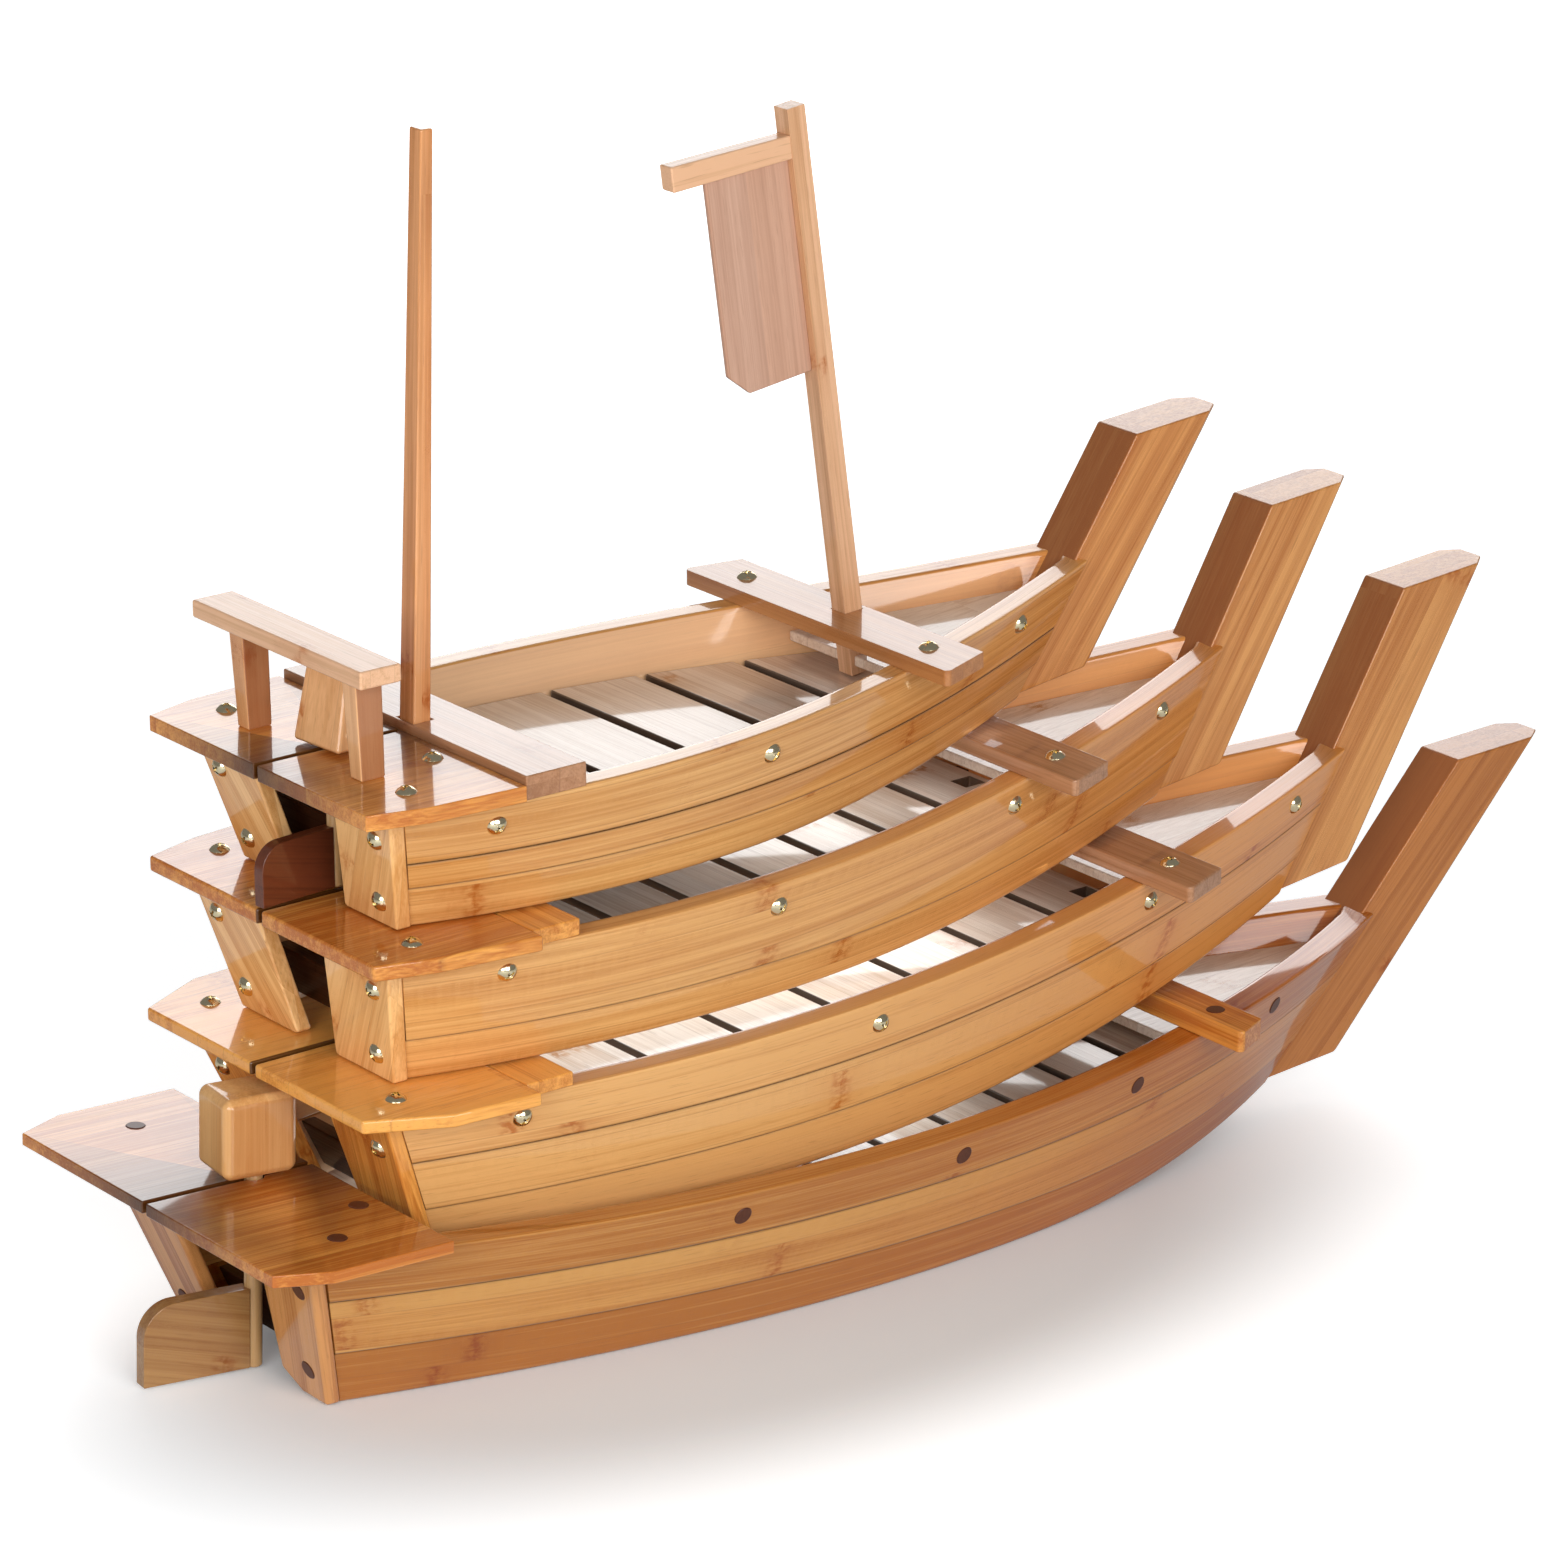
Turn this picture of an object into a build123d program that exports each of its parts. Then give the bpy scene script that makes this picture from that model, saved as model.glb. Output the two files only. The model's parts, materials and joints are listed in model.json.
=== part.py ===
from build123d import *
import os
from dataclasses import dataclass
from math import ceil, floor, radians, sqrt, tan

# A stack of four nesting sushi boats, in millimetres. +X points to the bow, +Y to port and +Z up.
# The origin is on the table, under the middle of the stack.
# Each boat is drawn in its own frame: x from the aft edge of its stern deck, z from the deck's top.

STATIONS = 11          # sections along each bent board
STRAKE_STEP = 1.4      # the lower strake lies this far inside the upper one
WOOD_GAP = 0.12        # glue line between a curved side and what lies against it
BODY_GAP = 0.4         # air between two things that come apart
DECK_SLOT = 3.0        # slot between the two stern deck boards
POST_THICK = 8.0
SLAT_THICK = 6.0
SLAT_GAP = 5.0
SLAT_LEAST = 14.0      # narrowest slat at either end of a floor
STEP_SIDE = 10.8       # square hole for a mast's foot in a floor slat
BEARER_WIDE = 9.0
BEARER_TALL = 11.0
BOW_DECK_THICK = 5.0
BOW_DECK_DROP = 14.0   # bow deck below the gunwale
CROSSPIECE_TALL = 22.0
CROSSPIECE_THICK = 8.0
CROSSPIECE_BACK = 14.0  # crosspiece behind the posts, which leaves room for the rudder's post
THWART_HALF = 94.0
STEM_CHAMFER = 7.0
STEM_LIFT = 4.0        # front of the stem's top above its back
BEAM_CORNER = 2.5
BEAM_TAPER = 9.0       # half length lost from the beam's aft edge to its forward edge
SIDE_LAP = 4.0         # how far the sides run on past the stem's aft face
SIDE_STEP = 4.2        # the sides stand this far out from the stem's cheeks
STUD_DROP = 13.0       # side studs below the gunwale
SCREW_R = 4.8
SCREW_DOME = 2.9
SHANK_R = 1.7
SHANK_LONG = 9.0
PLUG_R = 4.6
PLUG_PROUD = 0.4
PLUG_DEEP = 7.0

# Rig, rail and rudders, in the frame of the boat that carries them
REAR_MAST_X = 84.0     # at the deck's level
REAR_MAST_FOOT = (9.5, 12.0)
REAR_MAST_HEAD = (6.5, 9.0)
REAR_MAST_TOP = 268.0
SAIL_MAST_SIDE = 10.0
SAIL_MAST_X = 326.6    # at the deck's level
SAIL_MAST_RAKE = 7.6   # aft of square to the deck
SAIL_MAST_TOP = 250.0
YARD_LONG = 76.0
YARD_TALL = 11.0
YARD_DROP = 13.0       # yard below the top of the mast
YARD_LIFT = 5.0        # the yard's aft end cocked up from square to the mast
SAIL_WIDE = 46.5
SAIL_TALL = 101.0
SAIL_THICK = 3.0
SAIL_CORNER = 11.0
RAIL_X = 12.0
RAIL_WIDE = 21.5
RAIL_THICK = 8.2
RAIL_HALF = 65.6
RAIL_UNDERSIDE = 48.0
LEG_X = (29.0, 27.0)   # at the foot and under the bar
LEG_Y = 44.0
LEG_FOOT = (12.5, 8.8)
LEG_HEAD = (14.0, 11.0)


@dataclass
class Boat:
    """The sizes that tell one boat of the stack from another."""

    name: str
    place_x: float           # aft edge of the deck, from the middle of the stack
    place_z: float           # top of the deck, from the table
    pitch: float             # degrees, bow up
    deck_long: float
    deck_half: tuple         # half width at the aft edge, at the cut corner and at the forward edge
    deck_corner: float       # how far forward the cut corner ends
    deck_thick: float
    post_x: tuple            # forward face of the stern posts, at the foot and at the gunwale
    post_gap: tuple          # half gap between the stern posts, at the foot and at the gunwale
    post_cut: tuple          # cut across and up from a stern post's inner lower corner
    depth: float             # deck's top to the hull's lower edge at the stern
    rocker: float            # rise of the lower edge towards the bow
    flat: float              # share of the lower edge that is straight before it rises
    sheer_dip: float
    sheer_rise: float
    wall: float
    gunwale_half: tuple      # half breadths that steer the gunwale: stern, quarter, shoulder
    foot_half: tuple         # the same for the lower edge
    stem_x: float            # aft face of the stem at the deck's level
    stem_rake: float
    stem_run: float
    stem_top: float
    stem_half: float
    beam_x: float
    beam_half: float
    beam_wide: float
    beam_thick: float
    floor_drop: float
    slats: tuple             # place of one gap between floor slats, and their pitch
    step_x: float            # middle of the mast's hole in the floor, or None without one
    studs: tuple             # places of the side studs, as shares of the side's length
    deck_studs: tuple        # places of the studs in the port deck board
    thwart: tuple            # breadth of the aft thwart and its top above the deck, or None without one
    plugs: bool              # wooden plugs in place of dome screws


STACK_LONG = 824.0
TABLE_TO_DECK = 91.0
NEST_PITCH = 2.3         # the three upper boats lie bow up in the one below

BOTTOM = Boat("bottom_boat", -STACK_LONG / 2, TABLE_TO_DECK, 0.0, 87.0, (101.5, 112.0, 112.0), 25.0,
              6.0, (67.0, 37.0), (24.0, 40.0), (13.0, 9.0), TABLE_TO_DECK, 17.0, 0.66, 11.0, 9.0, 16.0,
              (86.0, 124.0, 122.0), (56.0, 98.0, 102.0), 704.0, 41.0, 57.0, 72.5, 14.0, 544.0, 108.0,
              20.0, 10.8, 34.0, (324.0, 43.3), None, (0.317, 0.515, 0.696, 0.868),
              ((47.0, 81.0), (76.0, 54.5)), None, True)
LOWER = Boat("lower_boat", -355.8, 144.2, NEST_PITCH, 80.0, (85.8, 104.0, 107.0), 36.0, 6.5,
             (56.0, 24.0), (20.0, 28.0), (2.0, 1.4), 87.0, 35.0, 0.25, 3.0, 22.0, 14.0,
             (78.0, 124.0, 92.0), (61.0, 98.0, 80.0), 616.0, 31.2, 56.0, 89.0, 14.5, 453.0, 106.0,
             27.0, 8.0, 30.0, (236.0, 52.6), 478.5, (0.093, 0.418, 0.73, 0.937),
             ((26.0, 73.5), (73.0, 36.0)), (25.0, -0.6), False)
UPPER = Boat("upper_boat", -352.6, 214.8, NEST_PITCH, 79.0, (88.6, 97.0, 103.0), 28.0, 7.5,
             (36.0, 22.0), (15.0, 27.0), (2.0, 1.4), 70.0, 17.0, 0.45, 3.0, 22.0, 14.0,
             (78.0, 124.0, 82.0), (60.0, 104.0, 70.0), 529.5, 30.6, 51.0, 78.0, 14.5, 376.0, 106.0,
             27.0, 8.0, 28.0, (199.0, 42.0), 399.0, (0.093, 0.373, 0.678, 0.911),
             ((29.0, 75.5), (72.0, 36.0)), (25.0, -0.6), False)
TOP = Boat("top_boat", -354.6, 281.7, NEST_PITCH, 76.0, (85.0, 92.5, 96.0), 27.0, 7.5, (39.0, 25.0),
           (20.0, 33.0), (2.0, 1.4), 66.5, 14.0, 0.45, 0.8, 15.5, 13.0, (77.0, 118.5, 74.0),
           (60.0, 100.0, 64.0), 445.5, 34.5, 52.0, 62.5, 14.5, 305.6, 98.7, 28.0, 7.5, 27.0,
           (155.4, 48.2), None, (0.098, 0.452, 0.886), ((31.0, 70.0), (65.0, 41.0)), (32.0, 3.5),
           False)


@dataclass
class Rudder:
    """A loose rudder: a head block on the deck, a round post in the slot and a blade under it."""

    boat: Boat
    post_x: float
    post_r: float
    post_foot: float
    head: tuple              # length, breadth and height of the head block
    head_aft: float          # aft edge of the head's foot, from the post
    head_lean: float         # how far the top's aft edge lies forward of the foot's
    head_chamfer: float
    head_lift: float
    blade_long: float
    blade_tall: float
    blade_thick: float
    blade_corner: float
    turn: float              # degrees, aft edge to starboard


TOP_RUDDER = Rudder(TOP, 40.0, 3.4, -64.6, (23.6, 32.0, 36.0), -9.6, 7.6, 1.5, 1.5,
                    40.0, 28.0, 6.0, 12.0, 5.0)
BOTTOM_RUDDER = Rudder(BOTTOM, 57.0, 4.2, -90.0, (36.0, 30.0, 38.0), -21.0, 0.0, 3.0, 4.7,
                       52.0, 38.0, 8.0, 16.0, -7.0)

pieces = {}


def place(boat):
    return Location((boat.place_x, 0, boat.place_z)) * Rotation(0, -boat.pitch, 0)


def keep(boat, name, *solids):
    """Store a boat's piece, turned into the frame of the stack."""
    pieces[f"{boat.name}_{name}"] = [place(boat) * solid for solid in solids]


def steer(controls, end, t):
    """Cubic curve through the first control and the end, drawn towards the two between them."""
    a, b, c = controls
    s = 1 - t
    return a * s**3 + 3 * b * s**2 * t + 3 * c * s * t**2 + end * t**3


def bow_x(boat, z):
    return boat.stem_x + z * tan(radians(boat.stem_rake)) + SIDE_LAP


def side_end(boat):
    return boat.stem_half + SIDE_STEP


def gunwale(boat, t):
    sheer = boat.sheer_rise * t**2.6 - boat.sheer_dip * 4 * t * (1 - t)
    z_end = boat.sheer_rise - boat.deck_thick
    x = boat.post_x[1] + (bow_x(boat, z_end) - boat.post_x[1]) * t
    return Vector(x, steer(boat.gunwale_half, side_end(boat), t), sheer - boat.deck_thick)


def foot(boat, t):
    rise = max(0, t - boat.flat) / (1 - boat.flat)
    z = boat.rocker * rise**2 - boat.depth
    x = boat.post_x[0] + (bow_x(boat, boat.rocker - boat.depth) - boat.post_x[0]) * t
    return Vector(x, steer(boat.foot_half, side_end(boat), t), z)


def outer(boat, t, share):
    """A point of the hull's port outside, from the gunwale (share 0) to the lower edge (share 1)."""
    return gunwale(boat, t) * (1 - share) + foot(boat, t) * share


def inner(boat, t, share):
    """The point straight inboard of outer, through the thickness of the side."""
    step = 0.01
    ahead = outer(boat, min(t + step, 1), share)
    behind = outer(boat, max(t - step, 0), share)
    slope = (ahead.Y - behind.Y) / (ahead.X - behind.X)
    return outer(boat, t, share) - Vector(0, boat.wall * sqrt(1 + slope**2), 0)


def at_level(boat, x, z):
    """The station and share at which the side's inner face passes x and z."""
    t, share = 0.5, 0.3
    for _ in range(40):
        top, low = gunwale(boat, t), foot(boat, t)
        share = (top.Z - z) / (top.Z - low.Z)
        reach = outer(boat, 1, share).X - outer(boat, 0, share).X
        t = min(max(t + (x - outer(boat, t, share).X) / reach, 0), 1)
    return t, share


def inner_half(boat, x, z):
    t, share = at_level(boat, x, z)
    return inner(boat, t, share).Y


def gunwale_z(boat, x):
    start, end = gunwale(boat, 0).X, gunwale(boat, 1).X
    return gunwale(boat, (x - start) / (end - start)).Z


def seam_share(t):
    """Height of the seam between the two strakes, from the gunwale down."""
    return 0.66 + 0.08 * t


def polygon(*points):
    return make_face(Polyline(*points, close=True))


def slab(points, thick):
    """A plate under the outline, which may slope."""
    return extrude(polygon(*points), thick, dir=(0, 0, -1))


def bar_across(profile, half):
    """A profile in the centre plane, drawn out to both sides."""
    face = polygon(*[(x, -half, z) for x, z in profile])
    return extrude(face, 2 * half, dir=(0, 1, 0))


def mirrored(solid):
    return mirror(solid, about=Plane.XZ)


def bent_board(section, start=0.0, end=1.0):
    """A board bent along the hull, lofted through its sections."""
    stations = [start + (end - start) * i / (STATIONS - 1) for i in range(STATIONS)]
    return loft([polygon(*section(t)) for t in stations])


def make_stem(boat):
    lean = tan(radians(boat.stem_rake))
    low = boat.rocker - boat.depth
    front_low = low + 7

    def aft(z):
        return boat.stem_x + z * lean

    profile = [(aft(low), low), (aft(front_low) + boat.stem_run, front_low),
               (aft(boat.stem_top + STEM_LIFT) + boat.stem_run, boat.stem_top + STEM_LIFT),
               (aft(boat.stem_top), boat.stem_top)]
    stem = bar_across(profile, boat.stem_half)
    upright = stem.edges().filter_by(lambda edge: abs(edge.tangent_at(0.5).Z) > 0.5)
    front = upright.sort_by(lambda edge: edge.center().X)[-2:]
    return chamfer(front, STEM_CHAMFER)


def make_sides(boat, stem):
    def upper(t):
        seam = seam_share(t)
        return [outer(boat, t, 0), outer(boat, t, seam), inner(boat, t, seam), inner(boat, t, 0)]

    def lower(t):
        seam = seam_share(t)
        step = Vector(0, STRAKE_STEP, 0)
        outside = [outer(boat, t, seam) - step, outer(boat, t, 1) - step]
        return outside + [inner(boat, t, 1), inner(boat, t, seam)]

    strakes = [bent_board(upper) - stem, bent_board(lower) - stem]
    keep(boat, "port_side", *strakes)
    keep(boat, "starboard_side", *[mirrored(s) for s in strakes])


def make_stern(boat):
    top, low = gunwale(boat, 0), foot(boat, 0)
    gap_low, gap_top = boat.post_gap
    cut_across, cut_up = boat.post_cut
    lift = (top - low) * (cut_up / (top.Z - low.Z))
    inner_low = Vector(low.X, gap_low + cut_across, low.Z)
    inner_cut = Vector(low.X, gap_low, low.Z) + Vector(lift.X, 0, lift.Z)
    inner_top = Vector(top.X, gap_top, top.Z)
    post = extrude(polygon(top, low, inner_low, inner_cut, inner_top), POST_THICK, dir=(-1, 0, 0))
    keep(boat, "stern_posts", post, mirrored(post))

    base = low.Z + 6
    rake = (top.X - low.X) / (top.Z - low.Z)
    levels = (base, base + CROSSPIECE_TALL)
    spots = [(low.X + rake * (z - low.Z) + CROSSPIECE_BACK, z) for z in levels]
    halves = [inner_half(boat, x, z) - 2 for x, z in spots]
    outline = [(x, side * h, z) for side in (1, -1) for (x, z), h in zip(spots[::side], halves[::side])]
    keep(boat, "stern_crosspiece", extrude(polygon(*outline), CROSSPIECE_THICK, dir=(1, 0, 0)))


def make_deck(boat, rudder):
    aft, corner, fore = boat.deck_half
    edge = DECK_SLOT / 2
    outline = [(0, edge, 0), (0, aft, 0), (boat.deck_corner, corner, 0), (boat.deck_long, fore, 0),
               (boat.deck_long, edge, 0)]
    board = slab(outline, boat.deck_thick - WOOD_GAP)
    if rudder:
        board -= Pos(rudder.post_x, 0, 0) * Cylinder(rudder.post_r + BODY_GAP, 4 * boat.deck_thick)
    keep(boat, "deck_boards", board, mirrored(board))


def make_thwart(boat, hole):
    aft = boat.deck_long + 1
    wide, high = boat.thwart
    fore = aft + wide
    low = max(gunwale_z(boat, aft), gunwale_z(boat, fore)) + WOOD_GAP
    plank = bar_across([(aft, low), (fore, low), (fore, high), (aft, high)], THWART_HALF)
    keep(boat, "aft_thwart", plank - hole if hole else plank)


def make_floor(boat):
    level = -boat.floor_drop
    under = level - SLAT_THICK
    start = boat.post_x[0] + CROSSPIECE_BACK + CROSSPIECE_THICK + 2
    stop = boat.beam_x + boat.beam_wide + 6
    gap_x, pitch = boat.slats
    first = ceil((start + SLAT_LEAST - gap_x) / pitch)
    last = floor((stop - SLAT_LEAST - gap_x) / pitch)
    gaps = [gap_x + i * pitch for i in range(first, last + 1)]
    starts = [start] + [x + SLAT_GAP / 2 for x in gaps]
    ends = [x - SLAT_GAP / 2 for x in gaps] + [stop]
    slats = []
    for x0, x1 in zip(starts, ends):
        half0, half1 = inner_half(boat, x0, under) - 1, inner_half(boat, x1, under) - 1
        outline = [(x0, -half0, level), (x1, -half1, level), (x1, half1, level), (x0, half0, level)]
        slats.append(slab(outline, SLAT_THICK))
    if boat.step_x:
        step = Pos(boat.step_x, 0, level) * Box(STEP_SIDE, STEP_SIDE, 4 * SLAT_THICK)
        slats = [slat - step for slat in slats]
    keep(boat, "floor_slats", *slats)

    def section(t):
        drop = [under - WOOD_GAP, under - WOOD_GAP - BEARER_TALL]
        points = []
        for z in drop:
            share = (gunwale(boat, t).Z - z) / (gunwale(boat, t).Z - foot(boat, t).Z)
            points.append(inner(boat, t, share) - Vector(0, WOOD_GAP, 0))
        wide = Vector(0, BEARER_WIDE, 0)
        return [points[0], points[1], points[1] - wide, points[0] - wide]

    bearer = bent_board(section, 0.09, 0.8)
    keep(boat, "floor_bearers", bearer, mirrored(bearer))


def make_bow(boat, stem, hole):
    aft, fore = boat.beam_x, boat.beam_x + boat.beam_wide
    z_aft, z_fore = gunwale_z(boat, aft) + WOOD_GAP, gunwale_z(boat, fore) + WOOD_GAP
    half = boat.beam_half
    ends = [(aft, half, z_aft), (fore, half - BEAM_TAPER, z_fore)]
    outline = ends + [(x, -y, z) for x, y, z in reversed(ends)]
    beam = extrude(polygon(*outline), boat.beam_thick, dir=(0, 0, 1))
    corners = beam.edges().filter_by(Axis.Z).sort_by(Axis.X)[:2]
    beam = fillet(corners, BEAM_CORNER)
    keep(boat, "bow_beam", beam - hole if hole else beam)

    start, stop = fore - 8, boat.stem_x - 2
    z_start = gunwale_z(boat, start) - BOW_DECK_DROP
    z_stop = gunwale_z(boat, stop) - BOW_DECK_DROP
    side = []
    for i in range(6):
        x = start + (stop - start) * i / 5
        z = z_start + (z_stop - z_start) * i / 5
        side.append((x, inner_half(boat, x, z - BOW_DECK_THICK) - 1.8, z))
    outline = side + [(x, -y, z) for x, y, z in reversed(side)]
    plate = slab(outline, BOW_DECK_THICK) - stem
    keep(boat, "bow_deck", plate - hole if hole else plate)
    keep(boat, "stem_post", stem)


def dome_screw():
    ball_r = (SCREW_R**2 + SCREW_DOME**2) / (2 * SCREW_DOME)
    above = Pos(0, 0, ball_r) * Box(4 * ball_r, 4 * ball_r, 2 * ball_r)
    dome = (Pos(0, 0, SCREW_DOME - ball_r) * Sphere(ball_r)) & above
    return dome + Pos(0, 0, -SHANK_LONG / 2) * Cylinder(SHANK_R, SHANK_LONG)


def wood_plug():
    return Pos(0, 0, PLUG_PROUD - PLUG_DEEP / 2) * Cylinder(PLUG_R, PLUG_DEEP)


def outward(boat, t, share):
    """Outward normal of the port side."""
    step = 0.01
    along = outer(boat, t + step, share) - outer(boat, t - step, share)
    down = foot(boat, t) - gunwale(boat, t)
    return along.cross(down).normalized()


def make_fasteners(boat):
    one = wood_plug() if boat.plugs else dome_screw()
    spots = []
    for t in boat.studs:
        top, low = gunwale(boat, t), foot(boat, t)
        share = STUD_DROP / (top - low).length
        spots.append((outer(boat, t, share), outward(boat, t, share)))
    top, low = gunwale(boat, 0), foot(boat, 0)
    for share in (0.25, 0.8):
        spot = top * (1 - share) + low * share
        spots.append((spot - Vector(POST_THICK, 12, 0), Vector(-1, 0, (top.X - low.X) / (top.Z - low.Z))))
    up = Vector(0, 0, 1)
    for x, y in boat.deck_studs:
        spots.append((Vector(x, y, 0), up))
    middle = boat.beam_x + boat.beam_wide / 2
    rise = gunwale_z(boat, middle) + boat.beam_thick + WOOD_GAP
    slope = (gunwale_z(boat, middle + 1) - gunwale_z(boat, middle - 1)) / 2
    spots.append((Vector(middle, boat.beam_half - 31, rise), Vector(-slope, 0, 1)))
    port = [Plane(origin=spot, z_dir=normal) * one for spot, normal in spots]
    starboard = []
    for spot, normal in spots:
        flip = Plane(origin=(spot.X, -spot.Y, spot.Z), z_dir=(normal.X, -normal.Y, normal.Z))
        starboard.append(flip * one)
    keep(boat, "plugs" if boat.plugs else "screws", *port, *starboard)


def make_boat(boat, rudder=None, thwart_hole=None, mast_hole=None):
    stem = make_stem(boat)
    make_sides(boat, stem)
    make_stern(boat)
    make_deck(boat, rudder)
    if boat.thwart:
        make_thwart(boat, thwart_hole)
    make_floor(boat)
    make_bow(boat, stem, mast_hole)
    make_fasteners(boat)


def make_rudder(rudder):
    boat = rudder.boat
    turn = Pos(rudder.post_x, 0, 0) * Rotation(0, 0, rudder.turn)
    long, broad, tall = rudder.head
    base = rudder.head_lift
    lean = rudder.head_lean
    under = Pos(rudder.head_aft + long / 2, 0, base) * Rectangle(long, broad)
    middle = rudder.head_aft + (long + lean) / 2
    over = Pos(middle, 0, base + tall) * Rectangle(long - lean, broad - lean / 2)
    head = loft([under, over])
    head = chamfer(head.edges(), rudder.head_chamfer)
    post = extrude(Pos(0, 0, rudder.post_foot) * Circle(rudder.post_r), base - rudder.post_foot)
    low = rudder.post_foot + 0.4
    high = low + rudder.blade_tall
    fore = -rudder.post_r * 0.8
    aft = fore - rudder.blade_long
    blade = bar_across([(fore, low), (fore, high), (aft, high), (aft, low)], rudder.blade_thick / 2)
    corner = blade.edges().filter_by(Axis.Y).sort_by(lambda edge: edge.center().Z - edge.center().X)[-1:]
    blade = fillet(corner, rudder.blade_corner) - post
    keep(boat, "rudder_head", turn * head)
    keep(boat, "rudder_post", turn * post)
    keep(boat, "rudder_blade", turn * blade)


def tapered_pole(foot_size, head_size, z0, z1):
    low = Pos(0, 0, z0) * Rectangle(*foot_size)
    high = Pos(0, 0, z1) * Rectangle(*head_size)
    return loft([low, high])


def make_rear_mast():
    pole = tapered_pole(REAR_MAST_FOOT, REAR_MAST_HEAD, BODY_GAP - TOP.floor_drop, REAR_MAST_TOP)
    keep(TOP, "rear_mast", upright() * pole)


def upright():
    """The rear mast stands upright on the table, so it leans forward in the boat's own frame."""
    return Pos(REAR_MAST_X, 0, 0) * Rotation(0, TOP.pitch, 0)


def raked():
    return Pos(SAIL_MAST_X, 0, 0) * Rotation(0, -SAIL_MAST_RAKE, 0)


def make_sail():
    half = SAIL_MAST_SIDE / 2
    low = BODY_GAP + 1 - TOP.floor_drop
    mast = Pos(0, 0, (low + SAIL_MAST_TOP) / 2) * Box(SAIL_MAST_SIDE, SAIL_MAST_SIDE, SAIL_MAST_TOP - low)
    yard_top = SAIL_MAST_TOP - YARD_DROP
    yard_low = yard_top - YARD_TALL
    yard = bar_across([(half, yard_low), (half, yard_top), (half - YARD_LONG, yard_top + YARD_LIFT),
                       (half - YARD_LONG, yard_low + YARD_LIFT - 1)], SAIL_MAST_SIDE * 0.45)
    mast -= yard
    sail_low = yard_low - SAIL_TALL
    aft = -half - SAIL_WIDE
    sail = bar_across([(-half, sail_low), (-half, yard_top), (aft, yard_top), (aft, sail_low + SAIL_CORNER),
                       (aft + SAIL_CORNER, sail_low)], SAIL_THICK / 2)
    head = bar_across([(half, yard_low), (half, yard_top + 20), (half - YARD_LONG, yard_top + 20),
                       (half - YARD_LONG, yard_low + YARD_LIFT - 1)], SAIL_MAST_SIDE)
    sail -= head
    keep(TOP, "sail_mast", raked() * mast)
    keep(TOP, "yard", raked() * yard)
    keep(TOP, "sail_board", raked() * sail)


def make_rail():
    bar = Box(RAIL_WIDE, 2 * RAIL_HALF, RAIL_THICK)
    bar = Pos(RAIL_X + RAIL_WIDE / 2, 0, RAIL_UNDERSIDE + RAIL_THICK / 2) * bar
    foot_face = Pos(LEG_X[0], LEG_Y, 0) * Rectangle(*LEG_FOOT)
    head_face = Pos(LEG_X[1], LEG_Y, RAIL_UNDERSIDE) * Rectangle(*LEG_HEAD)
    leg = loft([foot_face, head_face])
    keep(TOP, "rail_bar", fillet(bar.edges(), 1.2))
    keep(TOP, "rail_legs", leg, mirrored(leg))


mast_side = SAIL_MAST_SIDE + 2 * BODY_GAP
mast_hole = raked() * Box(mast_side, mast_side, 200)
rear_hole = upright() * Box(REAR_MAST_FOOT[0] + 2 * BODY_GAP, REAR_MAST_FOOT[1] + 2 * BODY_GAP, 40)

make_boat(BOTTOM, BOTTOM_RUDDER)
make_boat(LOWER)
make_boat(UPPER)
make_boat(TOP, TOP_RUDDER, rear_hole, mast_hole)
make_rudder(BOTTOM_RUDDER)
make_rudder(TOP_RUDDER)
make_rear_mast()
make_sail()
make_rail()

os.makedirs("parts", exist_ok=True)
for name, solids in pieces.items():
    export_step(Compound(children=[s for shape in solids for s in shape.solids()]), f"parts/{name}.step")

print(len(pieces), "pieces written")
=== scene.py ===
# %% [markdown]
# # A stack of four sushi boats
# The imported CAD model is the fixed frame. Everything below dresses its nodes: boards get eased edges,
# a grain that follows each board, and a clear gloss lacquer. Nothing of the frame is moved.

# %% Load the frame
import json
import math
import random
from dataclasses import dataclass

import bmesh
import bpy
import numpy as np
from mathutils import Matrix, Vector


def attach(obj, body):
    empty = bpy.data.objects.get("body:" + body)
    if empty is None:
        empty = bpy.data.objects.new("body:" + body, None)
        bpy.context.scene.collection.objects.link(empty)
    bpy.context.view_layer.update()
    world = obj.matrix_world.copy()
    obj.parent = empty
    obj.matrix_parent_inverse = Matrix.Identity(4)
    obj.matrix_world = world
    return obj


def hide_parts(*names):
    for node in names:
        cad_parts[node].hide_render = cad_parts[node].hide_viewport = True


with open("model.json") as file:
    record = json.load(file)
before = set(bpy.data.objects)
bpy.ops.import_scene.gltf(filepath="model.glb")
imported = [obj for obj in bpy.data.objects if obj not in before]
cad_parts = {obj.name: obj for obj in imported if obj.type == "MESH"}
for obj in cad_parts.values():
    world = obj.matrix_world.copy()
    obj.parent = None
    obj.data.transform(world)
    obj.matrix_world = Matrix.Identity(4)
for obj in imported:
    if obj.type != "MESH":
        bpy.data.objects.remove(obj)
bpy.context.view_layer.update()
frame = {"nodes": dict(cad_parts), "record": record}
nodes = frame["nodes"]
slot_of = {part["node"]: part["material_slot"] for part in frame["record"]["subparts"]}
bodies = frame["record"]["behaviour"]["bodies"]
body_of = {node: body for body, members in bodies.items() for node in members}
GRAIN_SEED = 41
draw = random.Random(GRAIN_SEED)

# %% [markdown]
# ## The hulls
# A boat's side is a board bent along a curve in plan and in height. The numbers that shape it are those of
# the CAD source, in millimetres in the boat's own frame: x from the aft edge of the stern deck, z from the
# deck's top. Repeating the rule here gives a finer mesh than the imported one, with a length along the board
# at every point, which is what a grain needs.

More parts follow.
